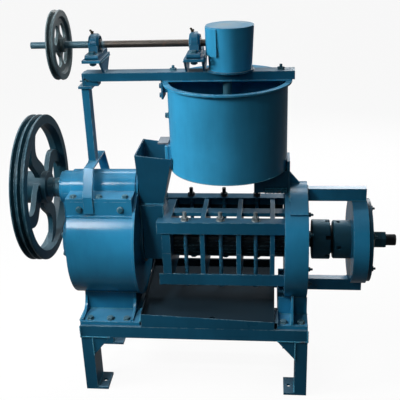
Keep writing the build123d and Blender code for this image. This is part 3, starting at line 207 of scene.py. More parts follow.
def enamel(name, colour, rough=0.26, dust_and_sheen_amount=0.25, wear_and_edge_highlight=0.5, oil_and_shade_below=None, high_colour=None):
    """Glossy enamel brushed on plate: uneven gloss, dust on up-facing faces with a painted sheen of light
    there, pale speckled edges that are partly wear and partly a painted highlight, and chips.

    oil_and_shade_below is a height below which the paint is dark with oil and with painted shade.
    high_colour is the greyer paint of the upper wheel.
    """
    f = Finish(name)
    cloud = f.noise(7.0, 4.0)
    fine = f.noise(90.0, 3.0)
    strokes = f.noise(34.0, 3.0, 0.6, stretch=(1.0, 1.0, 0.16))
    chips = f.noise(46.0, 6.0, 0.72)
    patches = f.noise(9.0, 2.0)
    round_edges = f.rounded(edge_radius)
    # Speckled pale edges: wear through the paint and a painted highlight on the edges
    rubbed_and_highlit_edges = f.edge(f.rounded(edge_wear_and_highlight_radius)).above(0.1, 0.06) * chips.above(0.5, 0.05) * min(1.0, wear_and_edge_highlight)
    chipped = chips.above(0.735 - 0.02 * wear_and_edge_highlight, 0.012) * patches.above(0.5, 0.06)
    # Up-facing faces turn pale: partly dust, partly a painted sheen of light from above
    settled_dust_and_sheen = f.facing_up().above(0.75, 0.2) * cloud.above(0.45, 0.2) * dust_and_sheen_amount
    coat = f.mix(cloud.above(0.5, 0.25), shade(colour, 0.78), shade(colour, 1.12))
    coat = f.mix(strokes.above(0.55, 0.2) * 0.35, coat, shade(colour, 1.3))
    if high_colour:
        high = f.along("Z").above(between_wheels_z, 0.01) * cloud.above(0.3, 0.3)
        coat = f.mix(high, coat, high_colour)
    coat = f.mix(settled_dust_and_sheen, coat, dust_and_sheen)
    coat = f.mix(rubbed_and_highlit_edges * 0.75, coat, pale)
    gloss = rough + cloud * 0.14 + settled_dust_and_sheen * 0.3 + chipped * 0.3
    if oil_and_shade_below:
        # Low in the tray, behind the rail's front, the paint goes near black: oil, and painted shade under
        # the cage
        oil_and_shade = f.along("Z").below(oil_and_shade_below, 0.004) * f.along("Y").above(rail_low.y + 0.0015, 0.0005)
        coat = f.mix(oil_and_shade * 0.88, coat, oil_black_and_shade)
        gloss = gloss + oil_and_shade * 0.4
    under = f.mix(fine.above(0.5, 0.1), rust, bare)
    f.set(Base_Color=f.mix(chipped, coat, under), Roughness=gloss, Metallic=chipped * 0.35,
          Normal=f.bump(strokes * 0.6 + fine * 0.12 - chipped * 0.8, 0.35, 0.0012,
                        Normal=round_edges))
    f.shader.inputs["Specular IOR Level"].default_value = 0.12
    return f


def turned_steel(name, colour, rough=0.34, rusty=0.3):
    """Steel turned on a lathe: fine tool lines round the bar, an oil film and spots of rust."""
    f = Finish(name)
    lines = f.noise(900.0, 1.0, 0.5, stretch=(1.0, 0.04, 0.04))
    cloud = f.noise(14.0, 4.0)
    spots = f.noise(60.0, 5.0, 0.7)
    rusted = spots.above(0.6, 0.06) * cloud.above(0.48, 0.1) * rusty
    metal = f.mix(cloud, shade(colour, 0.7), shade(colour, 1.2))
    f.metal = f.mix(rusted, metal, rust)
    f.clean = 1 - rusted
    f.set(Base_Color=f.metal, Metallic=f.clean, Roughness=rough + lines * 0.1 + rusted * 0.35,
          Normal=f.bump(lines, 0.12, 0.0004))
    return f


def shaft_finish(name, colour):
    """Turned steel, painted over where the shafts were brushed together with the frame."""
    upper_shaft_z, upper_wheel_x = 1.02, -0.235
    stirrer_top_z, collar_x, tip_x = 1.0, -0.4478, 0.36
    drive_low_z, drive_high_z, screw_high_z = 0.58, 0.7, 0.56
    thread_pitch = 0.0030
    f = turned_steel(name, colour, 0.42, 0.45)
    x, z = f.along("X"), f.along("Z")
    upper_end = z.above(upper_shaft_z, 0.01) * x.below(upper_wheel_x, 0.004)
    stirrer = z.above(pot_floor_z, 0.004) * z.below(stirrer_top_z, 0.004)
    collar = z.above(drive_low_z, 0.01) * z.below(drive_high_z, 0.01) * x.above(collar_x, 0.0004)
    painted = f.node("ShaderNodeMath", {"operation": "ADD", "use_clamp": True},
                     upper_end * 0.8 + stirrer, collar)
    tip = z.below(screw_high_z, 0.01) * x.above(tip_x, 0.002)
    threads = x.maths("SINE", x * (2 * pi / thread_pitch))
    coat = f.mix(painted, f.metal, (0.016, 0.085, 0.125, 1.0))
    f.set(Base_Color=f.mix(tip * 0.93, coat, oil_black_and_shade),
          Metallic=f.clean * (1 - painted) * (1 - tip * 0.5),
          Normal=f.bump(threads * tip, 0.6, 0.0012))
    return f


def rod_finish(name):
    """Threaded rods painted with the cage, with bare nuts in front and the back row made dark as painted
    shade.
    """
    thread_pitch = 0.00175
    nut_top = cage_top + 0.0108
    f = Finish(name)
    y, z = f.along("Y"), f.along("Z")
    grain = f.noise(120.0, 3.0)
    above_rail = z.above(cage_top + 0.0005, 0.0006)
    shaded_behind = y.above(0.0, 0.01)
    threads = z.maths("SINE", z * (2 * pi / thread_pitch))
    nut = f.mix(grain, (0.1, 0.13, 0.14, 1.0), (0.3, 0.34, 0.35, 1.0))
    # The back row of nuts made near black as painted shade
    nut = f.mix(shaded_behind, nut, (0.007, 0.012, 0.016, 1.0))
    bare_nut = above_rail * (1 - shaded_behind)
    f.set(Base_Color=f.mix(above_rail, f.mix(grain.above(0.55, 0.1), deep_blue, blue), nut),
          Metallic=bare_nut * 0.6, Roughness=0.3 + grain * 0.25,
          Normal=f.bump(threads * z.above(nut_top, 0.0004), 0.7, 0.0009))
    return f


def cast_dark(name, colour, rough=0.42):
    """Dark oiled iron with a fine cast skin and traces of paint."""
    f = Finish(name)
    grain = f.noise(260.0, 4.0, 0.6)
    cloud = f.noise(18.0, 3.0)
    iron = f.mix(cloud, shade(colour, 0.7), shade(colour, 1.5))
    f.set(Base_Color=f.mix(cloud.above(0.52, 0.08) * 0.5, iron, deep_blue), Metallic=0.3,
          Roughness=rough + grain * 0.16,
          Normal=f.bump(grain, 0.25, 0.0006, Normal=f.rounded(edge_radius)))
    f.shader.inputs["Specular IOR Level"].default_value = 0.15
    return f


def plated(name, colour, rough=0.3):
    """Plain steel with dull patches."""
    f = Finish(name)
    cloud = f.noise(120.0, 3.0)
    f.set(Base_Color=f.mix(cloud, shade(colour, 0.7), shade(colour, 1.2)), Metallic=0.9,
          Roughness=rough + cloud * 0.25)
    return f


def weld_skin(name, colour):
    """A weld bead under one coat of paint: crowns lighter where they face up as a painted highlight, the
    rest darker as painted shade, and rust pinholes.
    """
    f = Finish(name)
    grain = f.noise(300.0, 3.0, 0.6)
    cloud = f.noise(40.0, 2.0)
    painted_highlight = f.facing_up().above(0.1, 0.6)
    # Painted highlight on up-facing crowns, painted shade on the rest of the bead
    coat = f.mix(painted_highlight * 0.6, shade(colour, 0.8), shade(colour, 2.1))
    f.set(Base_Color=f.mix(cloud.above(0.66, 0.04) * 0.5, coat, rust), Roughness=0.26 + grain * 0.2,
          Normal=f.bump(grain, 0.3, 0.0008))
    f.shader.inputs["Specular IOR Level"].default_value = 0.3
    return f


blue = (0.0125, 0.132, 0.245, 1.0)
deep_blue = (0.007, 0.056, 0.098, 1.0)
pot_blue = (0.026, 0.225, 0.4, 1.0)
wheel_grey = (0.009, 0.04, 0.06, 1.0)
upper_wheel_grey = (0.085, 0.115, 0.122, 1.0)

# Most parts share one blue made darker or lighter per part: partly differing coats, partly painted shade on
# the stand, beam, hopper and cage, and painted light on the ring and housing
finishes = {
    "stand_paint": enamel("stand enamel", shade(blue, 0.62), 0.24, 0.35, 1.2),
    "housing_paint": enamel("housing enamel", shade(blue, 1.2), 0.1, 0.2, 0.7),
    "ring_paint": enamel("ring enamel", shade(blue, 1.4), 0.16, 0.2, 0.9),
    "end_paint": enamel("end cover enamel", deep_blue, 0.3, 0.2, 0.8),
    "beam_paint": enamel("beam enamel", shade(blue, 0.72), 0.24, 0.6, 1.0),
    "shelf_paint": enamel("shelf paint", shade(blue, 0.9), 0.36, 0.6, 1.4),
    "cap_paint": enamel("gear cap enamel", shade(pot_blue, 1.2), 0.2, 1.0, 0.7),
    "pot_paint": enamel("pot enamel", pot_blue, 0.16, 0.2, 0.8),
    "gate_steel": plated("gate steel", (0.2, 0.23, 0.26, 1.0), 0.4),
    "hopper_paint": enamel("hopper enamel", shade(blue, 0.55), 0.22, 0.1, 0.9, oil_and_shade_below=0.335),
    "cage_paint": enamel("cage enamel", shade(blue, 0.6), 0.24, 0.1, 1.2),
    "bar_steel": enamel("bar enamel", (0.006, 0.018, 0.026, 1.0), 0.3, 0.0, 1.5),
    "wheel_paint": enamel("wheel paint", wheel_grey, 0.34, 0.3, 0.8, high_colour=upper_wheel_grey),
    "shaft_steel": shaft_finish("shaft steel", (0.085, 0.078, 0.07, 1.0)),
    "gear_steel": turned_steel("gear steel", (0.25, 0.25, 0.25, 1.0), 0.3, 0.1),
    "nut_dark": cast_dark("dark nut iron", (0.012, 0.06, 0.09, 1.0)),
    "rod_steel": rod_finish("rod paint and steel"),
    "bolt_steel": enamel("bolt paint", (0.017, 0.09, 0.135, 1.0), 0.3, 0.3, 2.0),
    "bearing_steel": turned_steel("bearing steel", (0.3, 0.3, 0.3, 1.0), 0.24, 0.0),
    "nipple_brass": plated("nipple brass", (0.06, 0.05, 0.035, 1.0), 0.36),
}
finishes = {slot: finish.material for slot, finish in finishes.items()}
weld_blue = weld_skin("weld under paint", (0.024, 0.14, 0.21, 1.0)).material
for part in frame["record"]["subparts"]:
    shown = nodes[part["node"]]
    shown.data.materials.clear()
    shown.data.materials.append(finishes[part["material_slot"]])


# Modelling in the scene

def deselect():
    """Leave nothing selected."""
    bpy.ops.object.select_all(action="DESELECT")


def settle(piece, name, material, body):
    """Apply a piece's place, name it, give it its finish and let it ride on its body."""
    deselect()
    piece.select_set(True)
    bpy.context.view_layer.objects.active = piece
    bpy.ops.object.transform_apply(location=True, rotation=True, scale=True)
    piece.name = name
    piece.data.name = name
    piece.data.materials.clear()
    piece.data.materials.append(material)
    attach(piece, body)
    return piece


def joined(copies):
    """Join copied objects into one."""
    deselect()
    for copy in copies:
        copy.select_set(True)
    bpy.context.view_layer.objects.active = copies[0]
    bpy.ops.object.join()
    return bpy.context.object


def weld_drop():
    """One ripple of a weld: a low ball pressed flat, with its own mesh."""
    deselect()
    bpy.ops.mesh.primitive_uv_sphere_add(segments=8, ring_count=5, radius=1.0)
    drop = bpy.context.object
    drop.scale = (0.75, 1.0, 0.8)
    bpy.ops.object.transform_apply(scale=True)
    bpy.ops.object.shade_smooth()
    return drop


def bead_along(points, size, pitch=0.55):
    """Weld ripples from point to point, as one object of copied drops."""
    drop = weld_drop()
    copies = []
    for start, end in zip(points, points[1:]):
        way = Vector(end) - Vector(start)
        count = max(2, round(way.length / (size * pitch * 2)))
        turn = way.to_track_quat("X", "Z").to_matrix().to_4x4()
        for step in range(count + 1):
            wobble = 1 + 0.12 * sin(2.3 * step + 40 * way.length)
            here = Vector(start) + way * (step / count)
            copy = drop.copy()
            copy.data = drop.data.copy()
            copy.matrix_world = Matrix.Translation(here) @ turn @ Matrix.Scale(size * wobble, 4)
            bpy.context.collection.objects.link(copy)
            copies.append(copy)
    bpy.data.objects.remove(drop)
    return joined(copies)


def arc_points(centre, radius, axis, start, end, count):
    """Points on an arc round the X or the Z axis, in degrees."""
    points = []
    for step in range(count + 1):
        angle = radians(start + (end - start) * step / count)
        u, v = radius * cos(angle), radius * sin(angle)
        offset = (0, u, v) if axis == "X" else (u, v, 0)
        points.append(Vector(centre) + Vector(offset))
    return points


def weld(name, lines, size, body="base"):
    """Weld beads along one or more lines, joined as one piece."""
    return settle(joined([bead_along(points, size) for points in lines]), name, weld_blue, body)


# Bolt heads, nuts and washers

def corners(node):
    """The corners of each triangle of a CAD node, as rounded places."""
    mesh = nodes[node].data
    return [[tuple(round(c, 6) for c in mesh.vertices[v].co) for v in face.vertices]
            for face in mesh.polygons]


def islands(node):
    """The box of each separate solid in a node, as two vectors."""
    group = {}

    def top_of(place):
        while group.setdefault(place, place) != place:
            place = group[place]
        return place

    for face in corners(node):
        for place in face[1:]:
            group[top_of(place)] = top_of(face[0])
    boxes = {}
    for place in list(group):
        low, high = boxes.setdefault(top_of(place), ([9.0] * 3, [-9.0] * 3))
        for axis in range(3):
            low[axis] = min(low[axis], place[axis])
            high[axis] = max(high[axis], place[axis])
    return [(Vector(low), Vector(high)) for low, high in boxes.values()]


def pick_faces(test):
    """In edit mode, select the faces whose middle passes a test."""
    bpy.ops.mesh.select_all(action="DESELECT")
    bpy.ops.mesh.select_mode(type="FACE")
    bpy.ops.object.mode_set(mode="OBJECT")
    for face in bpy.context.object.data.polygons:
        face.select = test(face.center)
    bpy.ops.object.mode_set(mode="EDIT")


def hex_head():
    """A hexagon one unit across the flats and one unit high, and a chamfered crown on it."""
    deselect()
    bpy.ops.mesh.primitive_cylinder_add(vertices=6, radius=1 / sqrt(3), depth=1, location=(0, 0, 0.5))
    bpy.ops.object.transform_apply(location=True)
    bpy.ops.object.mode_set(mode="EDIT")
    pick_faces(lambda middle: middle.z > 0.99)
    bpy.ops.mesh.inset(thickness=0.075)
    bpy.ops.transform.translate(value=(0, 0, 0.16))
    bpy.ops.mesh.inset(thickness=0.09)
    bpy.ops.transform.translate(value=(0, 0, 0.03))
    bpy.ops.object.mode_set(mode="OBJECT")
    return bpy.context.object


def washer():
    """A round washer one unit across and one unit thick, and a slope up from its rim."""
    deselect()
    bpy.ops.mesh.primitive_cylinder_add(vertices=24, radius=0.5, depth=1, location=(0, 0, 0.5))
    bpy.ops.object.transform_apply(location=True)
    bpy.ops.object.mode_set(mode="EDIT")
    pick_faces(lambda middle: middle.z > 0.99)
    bpy.ops.mesh.inset(thickness=0.04)
    bpy.ops.transform.translate(value=(0, 0, 0.2))
    bpy.ops.object.mode_set(mode="OBJECT")
    bpy.ops.object.shade_smooth_by_angle(angle=radians(40))
    return bpy.context.object


def stud_end():
    """The end of a bolt, one unit across and one unit high, and a chamfer on it."""
    deselect()
    bpy.ops.mesh.primitive_cylinder_add(vertices=16, radius=0.5, depth=1, location=(0, 0, 0.5))
    bpy.ops.object.transform_apply(location=True)
    bpy.ops.object.mode_set(mode="EDIT")
    pick_faces(lambda middle: middle.z > 0.99)
    bpy.ops.mesh.inset(thickness=0.12)
    bpy.ops.transform.translate(value=(0, 0, 0.12))
    bpy.ops.object.mode_set(mode="OBJECT")
    bpy.ops.object.shade_smooth_by_angle(angle=radians(50))
    return bpy.context.object


def placed(pattern, foot, outward, corner, across, height):
    """A copy of a pattern that stands on a point, scaled across and along its axis."""
    turn = Matrix((corner.cross(outward), corner, outward)).transposed().to_4x4()
    copy = pattern.copy()
    copy.data = pattern.data.copy()
    copy.matrix_world = Matrix.Translation(foot) @ turn @ Matrix.Diagonal((across, across, height, 1))
    bpy.context.collection.objects.link(copy)
    return copy


head_pattern = hex_head()
washer_pattern = washer()
stud_pattern = stud_end()


def corner_way(low, high, axis):
    """The direction in which a hexagon in a box has its corners."""
    others = [k for k in range(3) if k != axis]
    widest = max(others, key=lambda k: high[k] - low[k])
    return Vector([1.0 if k == widest else 0.0 for k in range(3)]), min(high[k] - low[k] for k in others)


def head_and_washer(foot, outward, corner, across, height):
    """A chamfered head over a CAD head, and the washer under it, 1.6 mm thick."""
    return [placed(head_pattern, foot, outward, corner, across * 1.012, height * 0.92),
            placed(washer_pattern, foot, outward, corner, across * 1.3, 0.0016)]


def dress_bolts(name, node, outward_of):
    """Chamfered heads and washers for every bolt of a node."""
    height_by_width = 0.42
    made = []
    for low, high in islands(node):
        outward = Vector(outward_of((low + high) / 2))
        axis = max(range(3), key=lambda k: abs(outward[k]))
        corner, across = corner_way(low, high, axis)
        height = height_by_width * across
        foot = (low + high) / 2
        foot[axis] = (high if outward[axis] > 0 else low)[axis] - outward[axis] * height
        made += head_and_washer(foot, outward, corner, across, height)
    settle(joined(made), name, finishes["bolt_steel"], "base")


def gearbox_way(middle):
    """The way out of a gearbox bolt: up on the cap, sideways on the neck, left on the covers."""
    past_covers = middle.x > housing_low.x + 0.03
    if middle.z > drive_z - 0.004 and past_covers:
        return (0, 0, 1)
    if abs(middle.y) > 0.1 and past_covers:
        return (0, 1 if middle.y > 0 else -1, 0)
    return (-1, 0, 0)


dress_bolts("gearbox_bolt_heads", "gearbox_bolts", gearbox_way)
dress_bolts("base_bolt_heads", "base_bolts", lambda middle: (0, 0, 1))
dress_bolts("top_bolt_heads", "top_bolts", lambda middle: (0, 0, 1))
dress_bolts("ring_bolt_heads", "ring_bolts", lambda middle: (1, 0, 0))

rod_nut_height = 0.0096
rod_nuts = []
for low, high in islands("cage_rods"):
    corner, across = corner_way(low, high, 2)
    middle = (low + high) / 2
    for z, way in ((cage_top, 1), (cage_bottom, -1)):
        foot = Vector((middle.x, middle.y, z))
        rod_nuts += head_and_washer(foot, Vector((0, 0, way)), corner * way, across, rod_nut_height)
settle(joined(rod_nuts), "rod_nuts", finishes["rod_steel"], "base")

# Bolt ends on the beam and the end cover, and studs of the main ring and the pot
outwards = Vector((1, 0, 0))
upwards = Vector((0, 0, 1))
beam_high = span("top_beam")[1]
beam_head = 0.012
sunk = 0.002
ring_studs = ((-0.07, 0.579), (-0.112, 0.42))
pot_stud = Vector((pot_x - pot_r, -0.012, pot_floor_z + 0.157))

# Widths and heights of these ends and nuts
beam_end = (0.008, 0.009)
cover_end = (0.007, 0.008)
ring_end = (0.007, 0.014)
ring_nut = (0.013, 0.008)
pot_nut = (0.014, 0.009)
ends = []
for low, high in islands("top_bolts"):
    if 0 < high.z - beam_high.z < beam_head:
        middle = (low + high) / 2
        foot = Vector((middle.x, middle.y, high.z - sunk))
        ends.append(placed(stud_pattern, foot, upwards, outwards, *beam_end))
for low, high in islands("ring_bolts"):
    middle = (low + high) / 2
    foot = Vector((high.x - sunk, middle.y, middle.z))
    ends.append(placed(stud_pattern, foot, outwards, upwards, *cover_end))
for y, z in ring_studs:
    foot = Vector((ring_high.x, y, z))
    ends += head_and_washer(foot, outwards, upwards, *ring_nut)
    ends.append(placed(stud_pattern, foot, outwards, upwards, *ring_end))
ends += head_and_washer(pot_stud, -outwards, upwards, *pot_nut)
settle(joined(ends), "bolt_ends", finishes["bolt_steel"], "base")

# Ball heads on the grease nipples
ball_r = 0.0036
nipple_balls = []
for low, high in islands("grease_nipples"):
    deselect()
    bpy.ops.mesh.primitive_uv_sphere_add(segments=14, ring_count=9, radius=ball_r,
                                         location=(low.x + 0.0022, 0, high.z - 0.0028))
    bpy.ops.object.mode_set(mode="EDIT")
    pick_faces(lambda middle: middle.z > 0.0026)
    bpy.ops.transform.translate(value=(0, 0, -0.0006))
    bpy.ops.object.mode_set(mode="OBJECT")
    bpy.ops.object.shade_smooth()
    nipple_balls.append(bpy.context.object)
settle(joined(nipple_balls), "nipple_balls", finishes["nipple_brass"], "base")
for pattern in (head_pattern, washer_pattern, stud_pattern):
    bpy.data.objects.remove(pattern)


# Folded sheets that the frame lacks

def pick_edges(test):
    """In edit mode, select the edges whose middle passes a test."""
    bpy.ops.mesh.select_all(action="DESELECT")
    bpy.ops.mesh.select_mode(type="EDGE")
    bpy.ops.object.mode_set(mode="OBJECT")
    mesh = bpy.context.object.data
    for edge in mesh.edges:
        first, second = (mesh.vertices[index].co for index in edge.vertices)
        edge.select = test((first + second) / 2)
    bpy.ops.object.mode_set(mode="EDIT")


def folded_sheet(name, low, high, folds, thick, slot):
    """A sheet in a level rectangle, with flanges folded from its edges, and its edges eased.

    folds lists a test that finds an edge by its middle, and the way in which it is drawn out.
    """
    deselect()
    bpy.ops.mesh.primitive_plane_add(size=1, location=(Vector(low) + Vector(high)) / 2)
    piece = bpy.context.object
    piece.scale = (high[0] - low[0], high[1] - low[1], 1)
    bpy.ops.object.transform_apply(location=True, scale=True)
    bpy.ops.object.mode_set(mode="EDIT")
    for test, way in folds:
        pick_edges(test)
        bpy.ops.mesh.extrude_region_move(TRANSFORM_OT_translate={"value": way})
    bpy.ops.object.mode_set(mode="OBJECT")
    for kind, settings in (("SOLIDIFY", {"thickness": thick}),
                           ("BEVEL", {"width": thick / 6, "segments": 2})):
        made = piece.modifiers.new(kind.title(), kind)
        for key, value in settings.items():
            setattr(made, key, value)
        bpy.ops.object.modifier_apply(modifier=made.name)
    return settle(piece, name, finishes[slot], "base")


# Bearer under the right side of the pot, from the ring's edge inwards, in the darker cage enamel as painted
# shade under the pot
plate = 0.004
bearer_z = 0.707
bearer_half = 0.045
bearer_drop = (0, 0, -0.069)
folded_sheet("pot_bearer", (0.188, -bearer_half, bearer_z), (0.29, bearer_half, bearer_z),
             [(lambda middle: middle.y < -bearer_half + 0.001, bearer_drop),
              (lambda middle: middle.y > bearer_half - 0.001 and middle.z > bearer_z - 0.007, bearer_drop)],
             plate, "cage_paint")

# Back wall of the tray with a hem, a strip on its right side, and a strip behind the cage in the near-black
# bar enamel as painted shade, each drawn down from a level edge
sheet = 0.002
tray_low, tray_high = span("oil_tray")
rear_low, rear_high = span("upper_cage")
wall_z = 0.322
strip_z = 0.262
strip_x = tray_high.x + 0.0117
rear_z = 0.536
folded_sheet("tray_back", (tray_low.x - 0.019, tray_high.y, wall_z),
             (tray_high.x, tray_high.y + 0.008, wall_z),
             [(lambda middle: middle.y < tray_high.y + 0.001, (0, 0, -0.044))],
             sheet, "hopper_paint")
folded_sheet("tray_side", (tray_high.x - 0.0005, rail_low.y + 0.003, strip_z), (strip_x, -0.075, strip_z),
             [(lambda middle: middle.x > tray_high.x + 0.011, (0, 0, -0.01))],
             sheet, "stand_paint")
folded_sheet("rear_strip", (rear_low.x + 0.002, rear_high.y, rear_z),
             (rear_high.x - 0.002, rear_high.y + 0.006, rear_z),
             [(lambda middle: middle.y < rear_high.y + 0.001, (0, 0, -0.03))],
             sheet, "bar_steel")

# Drain spout under the tray, with a flared mouth
spout_r = 0.015
spout_length = 0.03
deselect()
bpy.ops.mesh.primitive_cylinder_add(vertices=32, radius=spout_r, depth=spout_length,
                                    end_fill_type="NOTHING",
                                    location=(0.06, -0.14, tray_low.z + 0.004))
spout = bpy.context.object
bpy.ops.object.mode_set(mode="EDIT")
pick_edges(lambda middle: middle.z < -spout_length / 2 + 0.001)
bpy.ops.mesh.extrude_region_move(TRANSFORM_OT_translate={"value": (0, 0, -0.002)})
bpy.ops.transform.resize(value=(1.12, 1.12, 1))
bpy.ops.object.mode_set(mode="OBJECT")
wall = spout.modifiers.new("Wall", "SOLIDIFY")
wall.thickness = 0.0015
bpy.ops.object.modifier_apply(modifier=wall.name)
bpy.ops.object.shade_smooth_by_angle(angle=radians(40))
settle(spout, "drain_spout", finishes["hopper_paint"], "base")


# Welds: each line runs along one axis, from a start to an end on it

def along_x(start, end, y, z):
    """A level line from left to right."""
    return [(start, y, z), (end, y, z)]


def along_y(x, start, end, z):
    """A level line from front to back."""
    return [(x, start, z), (x, end, z)]


def along_z(x, y, start, end):
    """An upright line."""
    return [(x, y, start), (x, y, end)]


# Welds of the stand
leg_in = rail_high.x - 0.037
leg_y = rail_high.y
leg_top = span("stand_legs")[1].z
foot_top = 0.008
gusset_low = span("stand_gussets")[0].z
stand_lines = []
for sx in (-1, 1):
    for sy in (-1, 1):
        y = sy * leg_y
        stand_lines.append(along_x(sx * rail_high.x, sx * leg_in, y, leg_top))
        stand_lines.append(along_y(sx * rail_high.x, y, y - sy * 0.078, leg_top))
        stand_lines.append(along_z(sx * leg_in, y, leg_top, gusset_low))
        stand_lines.append(along_x(sx * leg_in, sx * (leg_in - 0.053), y, leg_top))
        stand_lines.append(along_y(sx * leg_in, y - sy * 0.004, y - sy * 0.076, foot_top))
        stand_lines.append(along_z(sx * rail_high.x, y, rail_low.z + 0.004, rail_high.z - 0.003))
weld("stand_welds", stand_lines, 0.0032)

# Welds of the gearbox pedestal
pedestal_low, pedestal_high = span("gearbox_pedestal")
pedestal_left, pedestal_right = pedestal_low.x + 0.008, pedestal_high.x - 0.008
flare = 0.151
box_front = 0.079
touch = screw_z - sqrt(drum_r ** 2 - box_front ** 2)
housing_lines = [along_y(x, -flare, flare, base_top) for x in (pedestal_low.x, pedestal_high.x)]
housing_lines.append(along_x(pedestal_left, pedestal_right, -box_front, base_top))
housing_lines.append(along_x(pedestal_left, pedestal_right, -box_front - 0.0005, touch))
weld("housing_welds", housing_lines, 0.0038)

# Welds of the main ring, its pedestal and the tie arms
web_x = ring_low.x + 0.021
ring_lines = []
for side in (-1, 1):
    y = side * 0.0905
    touch = screw_z - sqrt(ring_r ** 2 - y ** 2)
    ring_lines.append(along_x(ring_low.x + 0.002, ring_high.x - 0.002, y, touch))
    ring_lines.append(along_x(ring_low.x - 0.016, ring_high.x + 0.003, y, base_top))
    ring_lines.append(along_y(web_x, side * 0.09, side * 0.155, base_top))
arm_low, arm_high = span("tie_arms")
for z in (arm_low.z, screw_z + end_r):
    for y in (arm_low.y, arm_high.y):
        ring_lines.append(along_z(ring_high.x + 0.001, y, z + 0.001, z + 0.038))
for y in (arm_low.y, arm_high.y):
    for z in (screw_z + end_r + 0.0002, screw_z - end_r - 0.0002):
        ring_lines.append(along_x(end_low.x, arm_high.x, y, z))
weld("ring_welds", ring_lines, 0.0032)

# Welds of the upper works: the feet and tops of the shelves, the post and the bridge
bridge_low, bridge_high = span("bridge")
post_top = span("upright_post")[1].z
shelves = sorted(islands("bearing_shelves"), key=lambda box: box[0].x)
web_foot = 0.021
web_top = 0.058
shelf_under = shelves[0][1].z - 0.008
upper_lines = []
for x in (shelves[0][1].x, shelves[1][0].x, shelves[1][1].x):
    upper_lines.append(along_y(x, -web_foot, web_foot, beam_high.z))
    upper_lines.append(along_y(x, -web_top, web_top, shelf_under))
post_x = (bridge_low.x + bridge_high.x) / 2 - 0.003
post_half_x, post_half_y = 0.011, 0.0175
for y in (-post_half_y, post_half_y):
    for z in (bridge_high.z, post_top - 0.022):
        upper_lines.append(along_x(post_x - post_half_x, post_x + post_half_x, y, z))
for x in (bridge_low.x, bridge_high.x):
    upper_lines.append(along_z(x, bridge_low.y + 0.006, bridge_low.z, bridge_low.z + 0.04))
weld("upper_welds", upper_lines, 0.0026)

# Welds of the pot: the seams of the floor and of the rim
pot_lines = [arc_points((pot_x, 0, pot_floor_z + 0.001), pot_r - 0.0005, "Z", 0, 360, 120),
             arc_points((pot_x, 0, pot_rim_z - 0.0052), pot_r + 0.0006, "Z", 0, 360, 120)]
weld("pot_welds", pot_lines, 0.0018)

# A crusted patch on the side of the gear cap
cap_lines = [[(0.088, -0.0515, 1.043), (0.088, -0.0555, 1.092)],
             [(0.084, -0.0485, 1.052), (0.085, -0.0525, 1.078)],
             [(0.092, -0.0545, 1.047), (0.093, -0.0555, 1.056)]]
weld("cap_welds", cap_lines, 0.0034)

# Welds of the hopper and the throat
hopper_half = 0.035
box_half = 0.05
throat_left = throat_low.x + 0.004
feed_lines = [along_x(throat_left, throat_high.x, y, throat_high.z) for y in (-hopper_half, hopper_half)]
feed_lines.append(along_y(throat_high.x, -hopper_half, hopper_half, throat_high.z))
for y in (-box_half, box_half):
    for x in (throat_left, throat_high.x):
        feed_lines.append(along_z(x, y, screw_z - box_half, throat_high.z))
weld("feed_welds", feed_lines, 0.0026)

# Rough welds that hold the pot support on the discharge ring
support_lines = [arc_points((x, 0, screw_z), ring_r, "X", 77, 103, 12) for x in (0.285, 0.293)]
support_lines.append(arc_points((0.294, 0, screw_z), ring_r + 0.004, "X", 62, 118, 30))
for z in (0.645, 0.652, 0.641):
    support_lines.append(along_x(0.222, 0.282, -0.0475, z))
weld("support_welds", support_lines, 0.0042)


# The camera stands where the photograph was taken from; its angles and focal length were fitted
photo_size = 400
focal_pixels = 711.1
camera_place = Vector((0.2395, -1.9996, 1.4461))
yaw, pitch, roll = -0.1088, radians(22.94), radians(-2.13)
ahead = Vector((sin(yaw) * cos(pitch), cos(yaw) * cos(pitch), -sin(pitch)))
level = Vector((cos(yaw), -sin(yaw), 0))
above = level.cross(ahead)
right = level * cos(roll) + above * sin(roll)
up = above * cos(roll) - level * sin(roll)
camera_data = bpy.data.cameras.new("camera")
camera_data.sensor_width = 36.0
camera_data.lens = focal_pixels / photo_size * camera_data.sensor_width
camera = bpy.data.objects.new("camera", camera_data)
turned = Matrix((right, up, -ahead)).transposed().to_4x4()
camera.matrix_world = Matrix.Translation(camera_place) @ turned
bpy.context.collection.objects.link(camera)
bpy.context.scene.camera = camera


# Floor, world and lamps
in_reflections = 0.1


def seen_by_eye(finish):
    """1 for rays from the camera and through glass, a tenth for reflections, 0 for all others."""
    rays = finish.tree.nodes.new("ShaderNodeLightPath")
    camera_ray, glossy, through = (Sum(finish, rays.outputs[name]) for name in
                                   ("Is Camera Ray", "Is Glossy Ray", "Is Transmission Ray"))
    return finish.node("ShaderNodeMath", {"operation": "ADD", "use_clamp": True},
                       camera_ray + glossy * in_reflections, through)


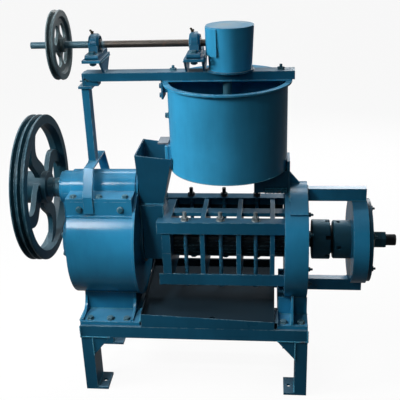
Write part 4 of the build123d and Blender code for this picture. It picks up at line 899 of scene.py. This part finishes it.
def white_floor():
    """A pale matt floor that is seen nearly white, keeps the shadow and throws little light back."""
    whiteness = 0.93
    f = Finish("floor")
    seen = seen_by_eye(f)
    f.set(Base_Color=f.mix(seen, (0.08, 0.08, 0.08, 1.0), (0.8, 0.8, 0.8, 1.0)), Roughness=0.9)
    f.shader.inputs["Specular IOR Level"].default_value = 0.1
    glow = f.tree.nodes.new("ShaderNodeEmission")
    blend = f.tree.nodes.new("ShaderNodeMixShader")
    f.feed(blend.inputs[0], seen * whiteness)
    f.tree.links.new(f.shader.outputs[0], blend.inputs[1])
    f.tree.links.new(glow.outputs[0], blend.inputs[2])
    f.tree.links.new(blend.outputs[0], f.tree.nodes["Material Output"].inputs["Surface"])
    return f.material


deselect()
bpy.ops.mesh.primitive_plane_add(size=60, location=(0, 0, -0.0005))
floor = bpy.context.object
floor.name = "floor"
floor.data.materials.append(white_floor())


class Sky(Finish):
    """The world's own nodes, written in the same way as a finish."""

    def __init__(self):
        world = bpy.data.worlds.new("studio")
        bpy.context.scene.world = world
        world.use_nodes = True
        self.tree = world.node_tree
        self.shader = self.tree.nodes["Background"]


world_light = 0.05
sky = Sky()
sky.set(Color=(1.0, 1.0, 1.0, 1.0), Strength=seen_by_eye(sky) * (1 - world_light) + world_light)


def lamp(name, place, aim, size, power, spread=pi):
    """A soft lamp of a width and a height that shines from a place towards a point."""
    data = bpy.data.lights.new(name, "AREA")
    data.shape = "RECTANGLE"
    data.size, data.size_y = size
    data.energy = power
    data.spread = spread
    made = bpy.data.objects.new(name, data)
    way = Vector(aim) - Vector(place)
    turn = way.to_track_quat("-Z", "Y").to_matrix().to_4x4()
    made.matrix_world = Matrix.Translation(Vector(place)) @ turn
    bpy.context.collection.objects.link(made)


lamp("key lamp", (-1.8, -0.6, 1.75), (0, 0, 0.75), (0.6, 0.6), 48)
lamp("front lamp", (-0.75, -1.15, 1.8), (-0.27, -0.1, 0.6), (0.4, 0.4), 2.2, radians(50))
lamp("camera side lamp", (-0.2, -2.4, 1.9), (0.1, 0, 0.45), (0.35, 0.35), 3.6)
lamp("overhead lamp", (-0.2, -0.25, 2.3), (-0.15, 0, 0.7), (0.9, 0.05), 4)
lamp("back lamp", (-0.15, 1.4, 2.4), (-0.15, 0, 0.65), (1.4, 0.14), 30)
lamp("rear fill lamp", (0.9, 2.5, 1.5), (0, 0, 0.6), (1.0, 1.0), 34)

bpy.context.scene.view_settings.view_transform = "Standard"
